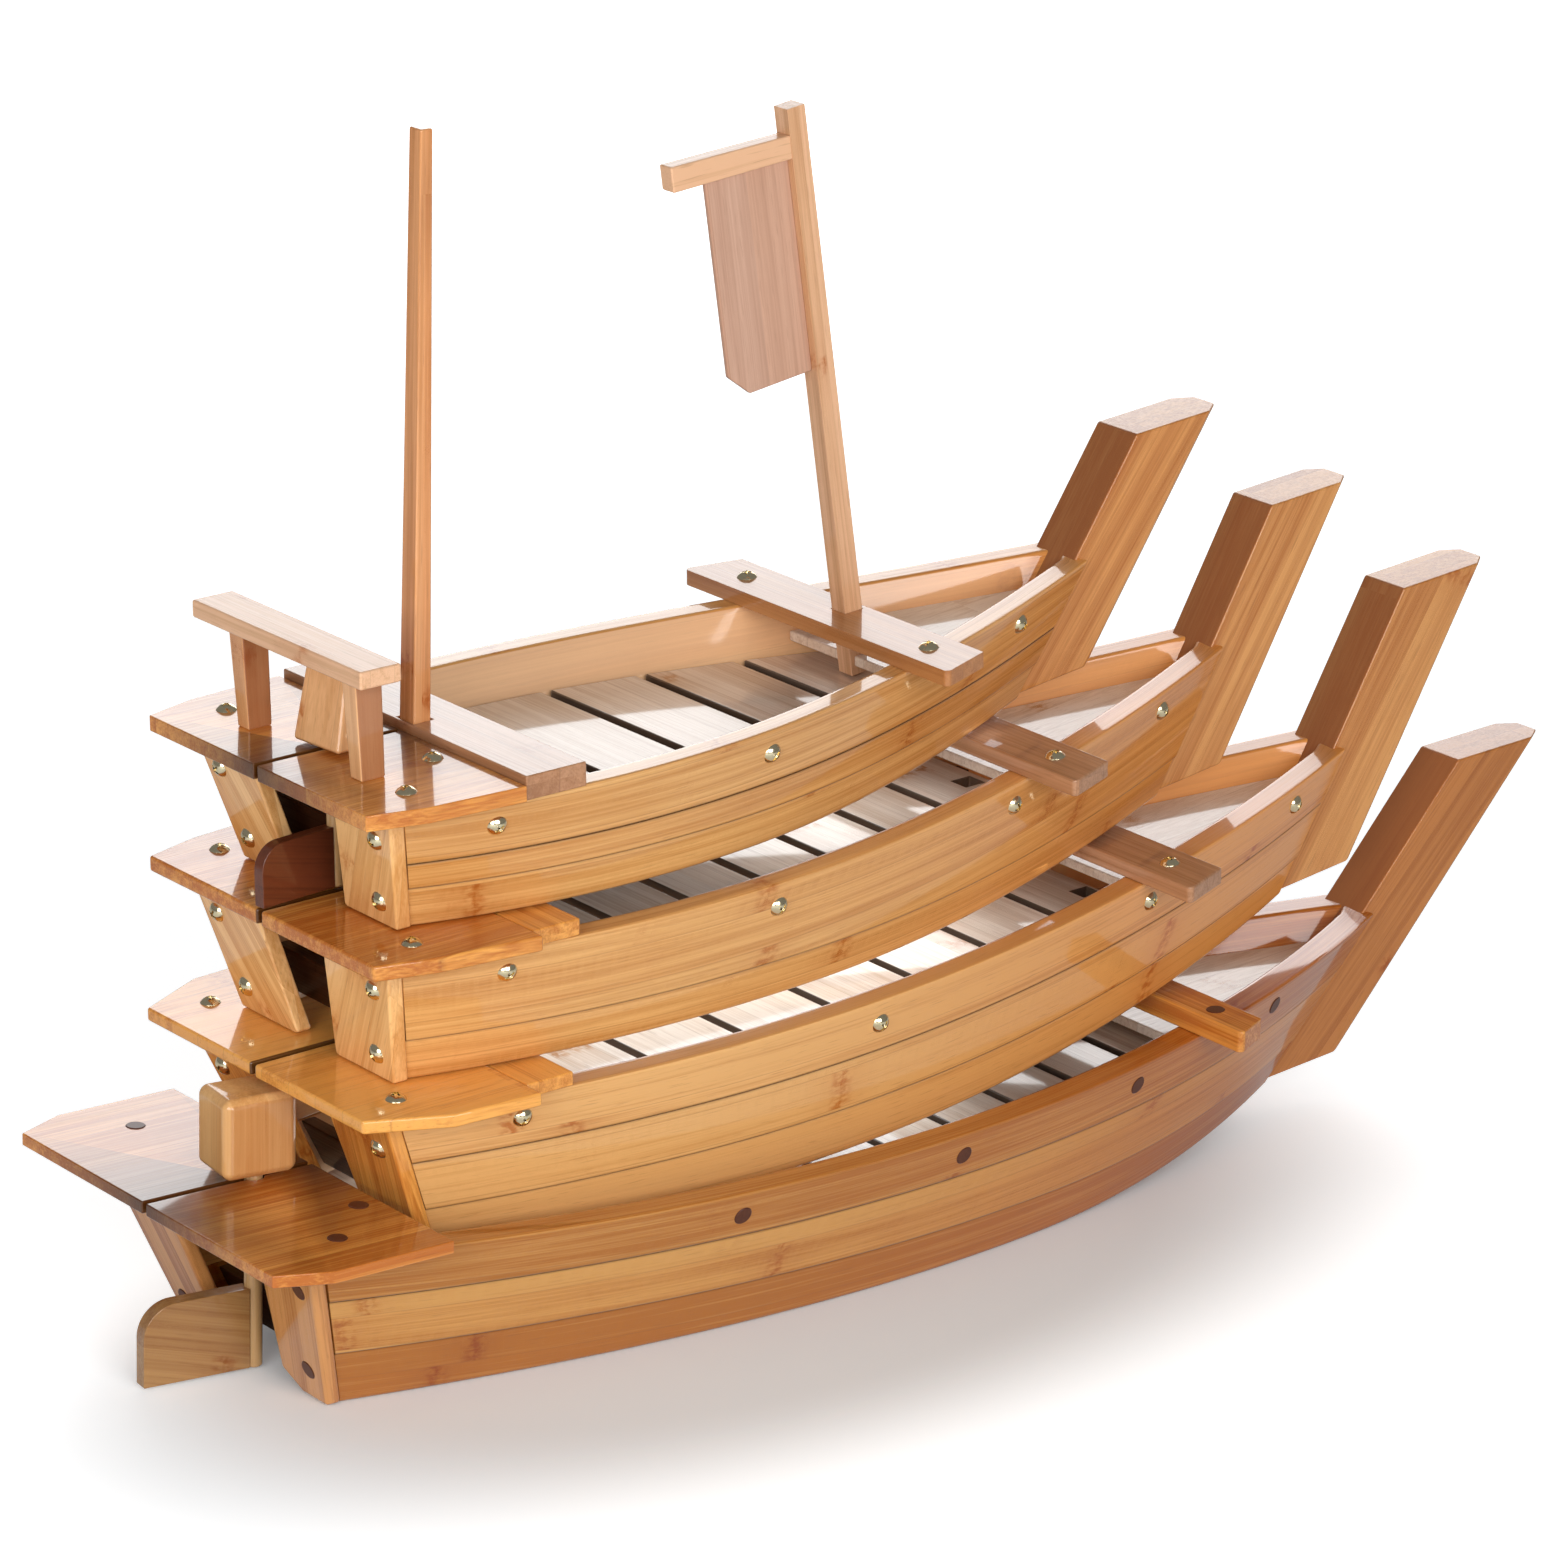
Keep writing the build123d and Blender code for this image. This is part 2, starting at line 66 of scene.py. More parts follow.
# %% Sizes of the four hulls
MM = 0.001
SIDE_LAP = 4.0  # length of side past the stem's aft face
SIDE_STEP = 4.2  # from the stem's face out to the side's
STRAKE_STEP = 1.4  # from the upper boards in to the lowest
RISE_POWER = 2.6  # how late the gunwale rises towards the bow
NUDGE = 0.01  # share of a side over which slopes are taken


@dataclass
class Hull:
    name: str
    x: float  # place of the boat's own frame in the stack
    z: float
    pitch: float  # bow up, in degrees
    deck_thick: float
    post_x: tuple  # where the sides start, at the foot and at the gunwale
    depth: float
    rocker: float  # rise of the foot at the bow
    flat: float  # share of the length before the foot rises
    dip: float  # sag of the gunwale amidships
    rise: float  # rise of the gunwale at the bow
    wall: float
    gunwale: tuple  # control points of the half breadths, from the stern
    foot: tuple
    stem_x: float
    rake: float  # degrees from upright
    stem_half: float
    beam: tuple  # aft edge, half length, width and thickness
    studs: tuple  # shares of the side's length
    deck_studs: tuple


BOTTOM = Hull("bottom_boat", -412.0, 91.0, 0.0, 6.0, (67, 37), 91.0, 17.0, 0.66, 11.0, 9.0, 16.0,
              (86, 124, 122), (56, 98, 102), 704.0, 41.0, 14.0, (544, 108, 20, 10.8),
              (0.317, 0.515, 0.696, 0.868), ((47, 81), (76, 54.5)))
LOWER = Hull("lower_boat", -355.8, 144.2, 2.3, 6.5, (56, 24), 87.0, 35.0, 0.25, 3.0, 22.0, 14.0,
             (78, 124, 92), (61, 98, 80), 616.0, 31.2, 14.5, (453, 106, 27, 8),
             (0.093, 0.418, 0.73, 0.937), ((26, 73.5), (73, 36)))
UPPER = Hull("upper_boat", -352.6, 214.8, 2.3, 7.5, (36, 22), 70.0, 17.0, 0.45, 3.0, 22.0, 14.0,
             (78, 124, 82), (60, 104, 70), 529.5, 30.6, 14.5, (376, 106, 27, 8),
             (0.093, 0.373, 0.678, 0.911), ((29, 75.5), (72, 36)))
TOP = Hull("top_boat", -354.6, 281.7, 2.3, 7.5, (39, 25), 66.5, 14.0, 0.45, 0.8, 15.5, 13.0,
           (77, 118.5, 74), (60, 100, 64), 445.5, 34.5, 14.5, (305.6, 98.7, 28, 7.5),
           (0.098, 0.452, 0.886), ((31, 70), (65, 41)))
HULLS = (BOTTOM, LOWER, UPPER, TOP)


def in_stack(hull, p):
    """A point of the hull's own frame, in metres in the frame of the stack."""
    c, s = math.cos(math.radians(hull.pitch)), math.sin(math.radians(hull.pitch))
    return Vector((hull.x + p.x * c - p.z * s, p.y, hull.z + p.x * s + p.z * c)) * MM


def steer(controls, end, t):
    """A Bezier curve through the first control and the end."""
    a, b, c = controls
    s = 1 - t
    return a * s**3 + 3 * b * s**2 * t + 3 * c * s * t**2 + end * t**3


def stem_aft(hull, z):
    return hull.stem_x + z * math.tan(math.radians(hull.rake))


def gunwale(hull, t):
    end = stem_aft(hull, hull.rise - hull.deck_thick) + SIDE_LAP
    z = hull.rise * t**RISE_POWER - hull.dip * 4 * t * (1 - t) - hull.deck_thick
    y = steer(hull.gunwale, hull.stem_half + SIDE_STEP, t)
    return Vector((hull.post_x[1] + (end - hull.post_x[1]) * t, y, z))


def foot(hull, t):
    end = stem_aft(hull, hull.rocker - hull.depth) + SIDE_LAP
    z = hull.rocker * (max(0, t - hull.flat) / (1 - hull.flat))**2 - hull.depth
    y = steer(hull.foot, hull.stem_half + SIDE_STEP, t)
    return Vector((hull.post_x[0] + (end - hull.post_x[0]) * t, y, z))


def outer(hull, t, share):
    return gunwale(hull, t).lerp(foot(hull, t), share)


def inner(hull, t, share):
    ahead = outer(hull, min(t + NUDGE, 1), share)
    behind = outer(hull, max(t - NUDGE, 0), share)
    slope = (ahead.y - behind.y) / (ahead.x - behind.x)
    return outer(hull, t, share) - Vector((0, hull.wall * math.sqrt(1 + slope**2), 0))


print("hull lengths in mm:", [round(outer(h, 1, 0).x) for h in HULLS])

# %% [markdown]
# ## Bamboo under lacquer
# Laminated bamboo shows strips of slightly different tone, fine fibres along the strip, short dark flecks,
# and a warm scribbled knuckle wherever a strip crosses a joint of the cane. An image could hold that, but it
# would stretch on bent boards. One shader group makes it all instead, from three attributes that each piece
# carries: "grain", a place measured along, across and through its own board, "tone", one number per board,
# and "soil", painted shade in seams, gaps and slots, with the dark of the glue joints. Every
# bamboo finish uses the group with its own colours.

# %% Helpers for node trees
def put(tree, kind, inputs=(), **settings):
    """Add a node, set its settings, then fill its inputs with numbers or links."""
    made = tree.nodes.new(kind)
    for key, value in settings.items():
        setattr(made, key, value)
    for key, value in dict(inputs).items():
        if isinstance(value, bpy.types.NodeSocket):
            tree.links.new(value, made.inputs[key])
        else:
            made.inputs[key].default_value = value
    return made


def calc(tree, operation, *values, clamp=False):
    made = put(tree, "ShaderNodeMath", dict(enumerate(values)), operation=operation, use_clamp=clamp)
    return made.outputs[0]


def ramp(tree, value, low, high, to_low=0.0, to_high=1.0):
    made = put(tree, "ShaderNodeMapRange", {0: value, 1: low, 2: high, 3: to_low, 4: to_high},
               interpolation_type="SMOOTHSTEP")
    return made.outputs[0]


def blend_colour(tree, share, a, b, blend="MIX"):
    made = put(tree, "ShaderNodeMix", {0: share, 6: a, 7: b}, data_type="RGBA", blend_type=blend)
    return made.outputs[2]


def stretched_noise(tree, grain, along, across, detail, shift):
    """Noise drawn out along the grain."""
    run = calc(tree, "MULTIPLY_ADD", grain[0], along, shift)
    sides = [calc(tree, "MULTIPLY", axis, across) for axis in grain[1:]]
    place = put(tree, "ShaderNodeCombineXYZ", dict(enumerate((run, *sides))))
    made = put(tree, "ShaderNodeTexNoise", {"Vector": place.outputs[0], "Scale": 1.0, "Detail": detail})
    return made.outputs[0]


def dice(tree, *places):
    """Three random numbers for a whole-numbered place."""
    cell = put(tree, "ShaderNodeCombineXYZ", dict(enumerate(places)))
    made = put(tree, "ShaderNodeTexWhiteNoise", {"Vector": cell.outputs[0]}, noise_dimensions="3D")
    return put(tree, "ShaderNodeSeparateColor", {0: made.outputs["Color"]}).outputs


def weighted(tree, base, *terms):
    """Base plus each noise, taken about its middle and times its weight."""
    total = base
    for value, weight in terms:
        total = calc(tree, "ADD", total, calc(tree, "MULTIPLY", calc(tree, "SUBTRACT", value, 0.5), weight))
    return total


# %% Strips and knuckles
LAYER = 0.021  # metres of thickness to one layer of strips
LAYER_SHIFT = 0.4  # moves layer seams off a board's middle
TONE_SHIFT = 9.7  # strips that a board's tone moves its seams by
STRIP_SEAM = (0.48, 0.5)  # in strips from a strip's middle
WAVE = (9.0, 150.0, 1.0)  # noise: cycles per metre along and across the grain, and detail
SCRIBBLE = (170.0, 300.0, 2.0)
WAVE_SIZE = 0.006  # metres, like the next three, from a knuckle's middle
BAND = (0.0085, 0.0015)
LINE = (0.0012, 0.0002)
HALO = (0.03, 0.0)
BAND_SHARE, LINE_SHARE, HALO_SHARE = 0.75, 0.22, 0.2
KNUCKLE_CHANCE = 0.55


def strip_cells(tree, grain, tone, width):
    """The strip and the layer that a point lies in, and how near it is to the strip's seam."""
    across = calc(tree, "MULTIPLY_ADD", tone, TONE_SHIFT, calc(tree, "DIVIDE", grain[1], width))
    layer = calc(tree, "FLOOR", calc(tree, "MULTIPLY_ADD", grain[2], 1 / LAYER, LAYER_SHIFT))
    from_middle = calc(tree, "ABSOLUTE", calc(tree, "SUBTRACT", calc(tree, "FRACT", across), 0.5))
    return calc(tree, "FLOOR", across), layer, ramp(tree, from_middle, *STRIP_SEAM)


def knuckles(tree, grain, strip, layer, chance, spacing):
    """Scribbled bands across a strip, at uneven places along it, and the fine line in each."""
    wave = stretched_noise(tree, grain, *WAVE, 3.0)
    along = calc(tree, "MULTIPLY_ADD", calc(tree, "SUBTRACT", wave, 0.5), WAVE_SIZE, grain[0])
    count = calc(tree, "MULTIPLY_ADD", chance, 11.0, calc(tree, "DIVIDE", along, spacing))
    off = calc(tree, "ABSOLUTE", calc(tree, "SUBTRACT", calc(tree, "FRACT", count), 0.5))
    off = calc(tree, "MULTIPLY", off, spacing)
    rolled = dice(tree, calc(tree, "FLOOR", count), strip, layer)[0]
    there = calc(tree, "GREATER_THAN", rolled, 1 - KNUCKLE_CHANCE)
    scribble = ramp(tree, stretched_noise(tree, grain, *SCRIBBLE, 5.0), 0.38, 0.64)
    band = calc(tree, "MULTIPLY", ramp(tree, off, *BAND), scribble)
    line = ramp(tree, off, *LINE)
    halo = ramp(tree, off, *HALO)
    mark = calc(tree, "MULTIPLY_ADD", band, BAND_SHARE, calc(tree, "MULTIPLY", line, LINE_SHARE))
    mark = calc(tree, "MULTIPLY_ADD", halo, HALO_SHARE, mark)
    return calc(tree, "MULTIPLY", there, mark), calc(tree, "MULTIPLY", there, line)


# %% The bamboo group
FIBRE = (14.0, 900.0, 2.0)  # noises, as above
STREAK = (3.0, 200.0, 2.0)
PATCH = (5.0, 22.0, 1.0)
FLECK = (60.0, 1100.0, 1.0)
MIDDLING = (0.3, 0.7)  # part of a noise's range spread from 0 to 1
RARE = (0.62, 0.74)
WARM = (1.0, 0.86, 0.72, 1)
SCORCH = (0.66, 0.40, 0.22, 1)
BLACK = (0.0, 0.0, 0.0, 1)
# the last two are for painted shade in seams and gaps, with the dark of glue joints: its most share, and how
# near black its colour is
MOST_WARM, MOST_SHADE_AND_DIRT, SHADE_AND_DIRT_BLACK = 0.35, 0.93, 0.8
ROUGHNESS = (0.15, 0.28)  # what the fibres add, and the least


def bamboo_group():
    tree = bpy.data.node_groups.new("bamboo strips", "ShaderNodeTree")
    for name, kind in (("Grain", "Vector"), ("Tone", "Float"), ("Soil", "Float"), ("Light", "Color"),
                       ("Dark", "Color"), ("Knuckle", "Color"), ("Strip Width", "Float"),
                       ("Strip Contrast", "Float"), ("Knuckle Spacing", "Float")):
        tree.interface.new_socket(name=name, in_out="INPUT", socket_type="NodeSocket" + kind)
    for name, kind in (("Color", "Color"), ("Roughness", "Float"), ("Height", "Float")):
        tree.interface.new_socket(name=name, in_out="OUTPUT", socket_type="NodeSocket" + kind)
    start = tree.nodes.new("NodeGroupInput").outputs
    end = tree.nodes.new("NodeGroupOutput").inputs
    axes = put(tree, "ShaderNodeSeparateXYZ", {0: start["Grain"]}).outputs
    grain = (axes[0], axes[1], axes[2])
    tone = start["Tone"]

    strip, layer, seam = strip_cells(tree, grain, tone, start["Strip Width"])
    chance, strip_tone, warmth = dice(tree, strip, layer, calc(tree, "MULTIPLY", tone, 53.0))[:3]
    shift = calc(tree, "MULTIPLY", chance, 13.0)
    fibre = ramp(tree, stretched_noise(tree, grain, *FIBRE, shift), *MIDDLING)
    streak = ramp(tree, stretched_noise(tree, grain, *STREAK, shift), *MIDDLING)
    patch = stretched_noise(tree, grain, *PATCH, shift)
    fleck = ramp(tree, stretched_noise(tree, grain, *FLECK, shift), *RARE)
    mark, line = knuckles(tree, grain, strip, layer, chance, start["Knuckle Spacing"])

    shade = weighted(tree, 0.5, (streak, 0.6), (fibre, 0.45), (patch, 0.6), (tone, 0.8))
    about = calc(tree, "SUBTRACT", strip_tone, 0.5)
    shade = calc(tree, "MULTIPLY_ADD", about, start["Strip Contrast"], shade, clamp=True)
    colour = blend_colour(tree, shade, start["Light"], start["Dark"])
    colour = blend_colour(tree, calc(tree, "MULTIPLY", warmth, MOST_WARM), colour, WARM, "MULTIPLY")
    colour = blend_colour(tree, mark, colour, SCORCH, "MULTIPLY")
    for mask, most in ((fleck, 0.26), (seam, 0.3)):
        colour = blend_colour(tree, calc(tree, "MULTIPLY", mask, most), colour, start["Knuckle"])
    # painted shade in seams, gaps and slots, with the dark of the glue joints: the knuckle colour taken
    # towards black
    shade_and_dirt_colour = blend_colour(tree, SHADE_AND_DIRT_BLACK, start["Knuckle"], BLACK)
    colour = blend_colour(tree, calc(tree, "MULTIPLY", start["Soil"], MOST_SHADE_AND_DIRT), colour, shade_and_dirt_colour)
    tree.links.new(colour, end["Color"])
    tree.links.new(calc(tree, "MULTIPLY_ADD", fibre, *ROUGHNESS), end["Roughness"])
    height = calc(tree, "SUBTRACT", fibre, calc(tree, "MULTIPLY_ADD", line, 0.5, seam))
    tree.links.new(height, end["Height"])
    return tree


BAMBOO = bamboo_group()
print("shader group with", len(BAMBOO.nodes), "nodes")

# %% [markdown]
# ## Finishes
# The lacquer is a smooth clear coat over the wood, so it is the Principled shader's coat, and the bump of
# the fibres stays under it. The wood itself hardly shines. The boards differ in stain: honey for the three
# upper boats, a browner one below, amber for the stern decks, pinkish tan for the rig, and red-brown for a
# few crosspieces. Stems and stern posts are glued up from narrow strips of two tones.
#
# A finish may tint the faces that look one way: on the aft face of a stem a darker stain of the cane, partly
# painted shade; on the port side's inner face painted light; on the starboard faces of a rudder head and the
# rail's legs painted shade. The sides get painted shade and warm bounce light towards the bow, which makes
# them more orange along the stack. A thinner coat on stems and rig keeps them from turning white.

# %% Bamboo finishes
LACQUER_ROUGHNESS = 0.06
WOOD_SHINE = 0.12
FIBRE_BUMP = {"Strength": 0.12, "Distance": 0.0004}
# the tinted way: faces turned that way get painted light or shade, and a stem's aft face a darker stain too
FACING_TINT_FROM = (0.75, 0.9)  # cosine of the angle between a face and the stained way
# painted shade and warm bounce light on the sides towards the bow: its multiplier, and where it starts and
# ends
BOW_SHADE = (1.0, 0.73, 0.45)
BOW_SHADE_FROM = (-0.2, 0.25)  # metres along the stack


def new_finish(name):
    made = bpy.data.materials.new(name)
    made.use_nodes = True
    return made, made.node_tree, made.node_tree.nodes["Principled BSDF"]


def bamboo(name, light, dark, knuckle, strip=0.021, contrast=0.45, spacing=0.23, stain_and_light=None,
           shaded_to_bow=False, coat=1.0):
    """A bamboo finish. The tint for faces turned one way holds a direction, a colour and a share: painted
    light or shade on that side, and on a stem's aft face a darker stain too. A finish with painted shade
    towards the bow grows more orange there."""
    made, tree, shader = new_finish(name)
    colours = {"Light": (*light, 1), "Dark": (*dark, 1), "Knuckle": (*knuckle, 1)}
    numbers = {"Strip Width": strip, "Strip Contrast": contrast, "Knuckle Spacing": spacing}
    group = put(tree, "ShaderNodeGroup", {**colours, **numbers}, node_tree=BAMBOO)
    for key, output in (("Grain", "Vector"), ("Tone", "Fac"), ("Soil", "Fac")):
        attribute = put(tree, "ShaderNodeAttribute", attribute_name=key.lower())
        tree.links.new(attribute.outputs[output], group.inputs[key])
    colour = group.outputs["Color"]
    # painted light or shade on faces turned one way, with a darker stain on a stem's aft face
    if stain_and_light:
        direction, facing_colour, most = stain_and_light
        normal = put(tree, "ShaderNodeTexCoord").outputs["Normal"]
        facing = put(tree, "ShaderNodeVectorMath", {0: normal, 1: direction}, operation="DOT_PRODUCT")
        share = calc(tree, "MULTIPLY", ramp(tree, facing.outputs["Value"], *FACING_TINT_FROM), most)
        colour = blend_colour(tree, share, colour, (*facing_colour, 1))
    # painted shade and warm bounce light, more orange towards the bow
    if shaded_to_bow:
        place = put(tree, "ShaderNodeTexCoord").outputs["Object"]
        forward = put(tree, "ShaderNodeSeparateXYZ", {0: place}).outputs[0]
        share = ramp(tree, forward, *BOW_SHADE_FROM)
        colour = blend_colour(tree, share, colour, (*BOW_SHADE, 1), "MULTIPLY")
    tree.links.new(colour, shader.inputs["Base Color"])
    tree.links.new(group.outputs["Roughness"], shader.inputs["Roughness"])
    bump = put(tree, "ShaderNodeBump", {**FIBRE_BUMP, "Height": group.outputs["Height"]})
    tree.links.new(bump.outputs[0], shader.inputs["Normal"])
    shader.inputs["Specular IOR Level"].default_value = WOOD_SHINE
    shader.inputs["Coat Weight"].default_value = coat
    shader.inputs["Coat Roughness"].default_value = LACQUER_ROUGHNESS
    return made


STEM_AFT = (-0.83, 0.0, 0.56)
STARBOARD = (0.0, -1.0, 0.0)
HONEY_COLOURS = ((0.80, 0.45, 0.165), (0.56, 0.25, 0.065), (0.30, 0.12, 0.035))
HONEY = bamboo("honey bamboo", *HONEY_COLOURS, shaded_to_bow=True)
# the port side's faces that look to starboard, its inner face, get painted light: paler, as if lit from the
# front
HONEY_PORT_LIT_INSIDE = bamboo("honey bamboo, paler inside", *HONEY_COLOURS,
                    stain_and_light=(STARBOARD, (0.92, 0.62, 0.40), 0.6), shaded_to_bow=True)
HONEY_BEAM = bamboo("honey bamboo beam", (0.56, 0.25, 0.085), (0.40, 0.15, 0.045), (0.22, 0.075, 0.022))
# a stem's aft face is darker: partly a darker face of the cane, partly painted shade
HONEY_STEM = bamboo("honey bamboo stem", (0.74, 0.35, 0.115), (0.48, 0.17, 0.042), (0.24, 0.08, 0.022),
                    strip=0.0145, contrast=1.0, stain_and_light=(STEM_AFT, (0.26, 0.08, 0.025), 0.7), coat=0.7)
HONEY_POST = bamboo("honey bamboo post", (0.97, 0.60, 0.26), (0.72, 0.35, 0.11), (0.36, 0.13, 0.04),
                    strip=0.0085, contrast=1.1)
HONEY_HEAD = bamboo("honey bamboo head", (0.90, 0.52, 0.25), (0.74, 0.38, 0.15), (0.40, 0.16, 0.05))
BROWN = bamboo("brown bamboo", (0.65, 0.33, 0.09), (0.42, 0.145, 0.018), (0.24, 0.09, 0.028), shaded_to_bow=True)
# a darker aft face here too: partly the cane, partly painted shade
BROWN_STEM = bamboo("brown bamboo stem", (0.56, 0.22, 0.06), (0.37, 0.12, 0.028), (0.20, 0.065, 0.022),
                    strip=0.0145, contrast=0.9, stain_and_light=(STEM_AFT, (0.34, 0.11, 0.035), 0.7), coat=0.7)
BROWN_POST = bamboo("brown bamboo post", (0.67, 0.31, 0.10), (0.40, 0.135, 0.03), (0.22, 0.08, 0.025),
                    strip=0.0085, contrast=1.2)
# the head's starboard faces get painted shade
BROWN_HEAD = bamboo("brown bamboo head", (0.76, 0.44, 0.18), (0.60, 0.30, 0.10), (0.34, 0.14, 0.05),
                    stain_and_light=(STARBOARD, (0.36, 0.12, 0.03), 0.4))
KHAKI = bamboo("khaki bamboo", (0.42, 0.23, 0.085), (0.28, 0.125, 0.04), (0.20, 0.09, 0.03))
DOWEL = bamboo("tan dowel", (0.58, 0.36, 0.16), (0.42, 0.23, 0.09), (0.28, 0.13, 0.05))
AMBER = bamboo("amber bamboo", (0.88, 0.41, 0.09), (0.50, 0.145, 0.02), (0.26, 0.075, 0.014))
PALE = bamboo("pale bamboo", (0.88, 0.73, 0.60), (0.64, 0.46, 0.33), (0.30, 0.15, 0.08))
RED = bamboo("red-brown bamboo", (0.51, 0.265, 0.14), (0.34, 0.155, 0.07), (0.10, 0.03, 0.012))
DARK_RED = bamboo("dark red bamboo", (0.13, 0.032, 0.012), (0.07, 0.017, 0.007), (0.05, 0.012, 0.006))
SHADED = bamboo("unlit bamboo", (0.05, 0.018, 0.008), (0.03, 0.010, 0.005), (0.02, 0.006, 0.003))
TAN = bamboo("tan bamboo", (0.80, 0.49, 0.30), (0.53, 0.27, 0.12), (0.33, 0.15, 0.07), strip=0.0125,
             coat=0.6)
TAN_MAST = bamboo("tan bamboo mast", (0.80, 0.38, 0.16), (0.56, 0.22, 0.07), (0.33, 0.13, 0.05),
                  strip=0.0125)
# the legs' starboard faces get painted shade
TAN_LEG = bamboo("tan bamboo leg", (0.82, 0.46, 0.22), (0.64, 0.31, 0.13), (0.33, 0.13, 0.05),
                 stain_and_light=(STARBOARD, (0.27, 0.08, 0.03), 0.7))
VENEER = bamboo("tan bamboo veneer", (0.63, 0.38, 0.27), (0.49, 0.27, 0.18), (0.34, 0.17, 0.10),
                strip=0.004, contrast=0.7, spacing=9.0)
FINISH = {"honey_bamboo": HONEY, "brown_bamboo": BROWN, "amber_bamboo": AMBER, "pale_bamboo": PALE,
          "red_bamboo": RED, "tan_bamboo": TAN}
print(BAMBOO.users, "bamboo finishes")

# %% [markdown]
# ## Fastener finishes
# The screws are polished brass, a little uneven from handling, and the plugs are dark wood under a thin
# coat. Both are small, so one fine noise is enough to vary the colour and the roughness together.

# %% Brass and plug finishes
def mottled(name, noise, colours, roughness, **settings):
    """A finish varied by one noise. Roughness is the least, and what the noise adds."""
    made, tree, shader = new_finish(name)
    place = put(tree, "ShaderNodeTexCoord").outputs["Object"]
    spread = put(tree, "ShaderNodeTexNoise", {"Vector": place, **noise}).outputs[0]
    least, added = roughness
    tree.links.new(blend_colour(tree, spread, *colours), shader.inputs["Base Color"])
    tree.links.new(calc(tree, "MULTIPLY_ADD", spread, added, least), shader.inputs["Roughness"])
    for key, value in settings.items():
        shader.inputs[key.replace("_", " ")].default_value = value
    return made


BRASS = mottled("polished brass", {"Scale": 900.0, "Detail": 3.0},
                ((0.93, 0.84, 0.60, 1), (0.76, 0.62, 0.36, 1)), (0.09, 0.14), Metallic=1.0)
PLUG = mottled("dark plug wood", {"Scale": 700.0, "Detail": 4.0},
               ((0.06, 0.017, 0.009, 1), (0.13, 0.042, 0.022, 1)), (0.3, 0.2),
               Specular_IOR_Level=WOOD_SHINE, Coat_Weight=0.25)
print(BRASS.name, "and", PLUG.name)

# %% [markdown]
# ## Pieces from meshes
# A new piece rides on the body of the node it stands for, hides that node and takes one finish. Boards
# carry the three attributes that the bamboo group reads.

# %% Make a piece
def add_piece(name, mesh, material, *stands_for):
    mesh.materials.clear()
    mesh.materials.append(material)
    piece = bpy.data.objects.new(name, mesh)
    bpy.context.scene.collection.objects.link(piece)
    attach(piece, body_of[stands_for[0]])
    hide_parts(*stands_for)
    return piece


def set_attributes(mesh, grain, tone, soil):
    place = mesh.attributes.new("grain", "FLOAT_VECTOR", "POINT")
    place.data.foreach_set("vector", np.ravel(grain).astype(np.float32))
    for name, values in (("tone", tone), ("soil", soil)):
        number = mesh.attributes.new(name, "FLOAT", "POINT")
        number.data.foreach_set("value", np.asarray(values, np.float32))


def to_mesh(name, bm):
    mesh = bpy.data.meshes.new(name)
    bm.to_mesh(mesh)
    bm.free()
    mesh.shade_smooth()
    return mesh


# %% [markdown]
# ## Sides
# Each side is glued up from two or three boards, one above the other. The lowest stands a little inside
# the one above, which draws the dark seam along the hull. A bevelled box would have to be bent, so the
# boards are swept instead: a section of four corners, each rounded by three points with a support point
# either side, runs along the hull through many stations. The seam's edges are darkened: painted shade on
# the ledge that faces down, with the dark of the glue joint.

# %% Sections of the side boards
STATIONS = 60
EDGE_EASE = 1.2  # millimetres, on the gunwale and the lower edge
SEAM_EASE = 0.7
ROUND = 1 - math.sqrt(0.5)
SUPPORT = 2.0  # support points, in eases from the corner
CORNER_POINTS = ((SUPPORT, 0), (1, 0), (ROUND, ROUND), (0, 1), (0, SUPPORT))
PER_CORNER = len(CORNER_POINTS)
# painted shade, with the joint's dark, on the points of an outer corner that faces a seam
CORNER_SHADE_AND_DIRT = (1, 1, 0.8, 0.3, 0)  # on an outer corner, from the seam's ledge to the face
LOW_SEAM = (0.66, 0.74)  # shares of the side's height at stern and bow
STEM_MARGIN = 0.5  # points nearer the stem than this end on its aft face
STEM_CLEAR = 0.1


@dataclass
class Board:
    """One board of a side: its edges at stern and bow, its step inwards and its tone."""
    top: tuple
    low: tuple
    step: float
    tone: float


def boards(*rows):
    """Boards from the gunwale down, each starting where the last ends."""
    made, top = [], (0.0, 0.0)
    for low, step, tone in rows:
        made.append(Board(top, low, step, tone))
        top = low
    return made


BANDS = {
    "bottom_boat": boards(((0.30, 0.33), 0.0, 0.92), (LOW_SEAM, 0.4, 0.05), ((1, 1), STRAKE_STEP, 1.05)),
    "lower_boat": boards(((0.33, 0.37), 0.0, 0.0), (LOW_SEAM, 0.3, 0.08), ((1, 1), STRAKE_STEP, 0.0)),
    "upper_boat": boards((LOW_SEAM, 0.0, 0.35), ((1, 1), STRAKE_STEP, 0.35)),
    "top_boat": boards(((0.44, 0.48), 0.0, 0.50), (LOW_SEAM, 0.0, 0.72), ((1, 1), STRAKE_STEP, 0.40)),
}


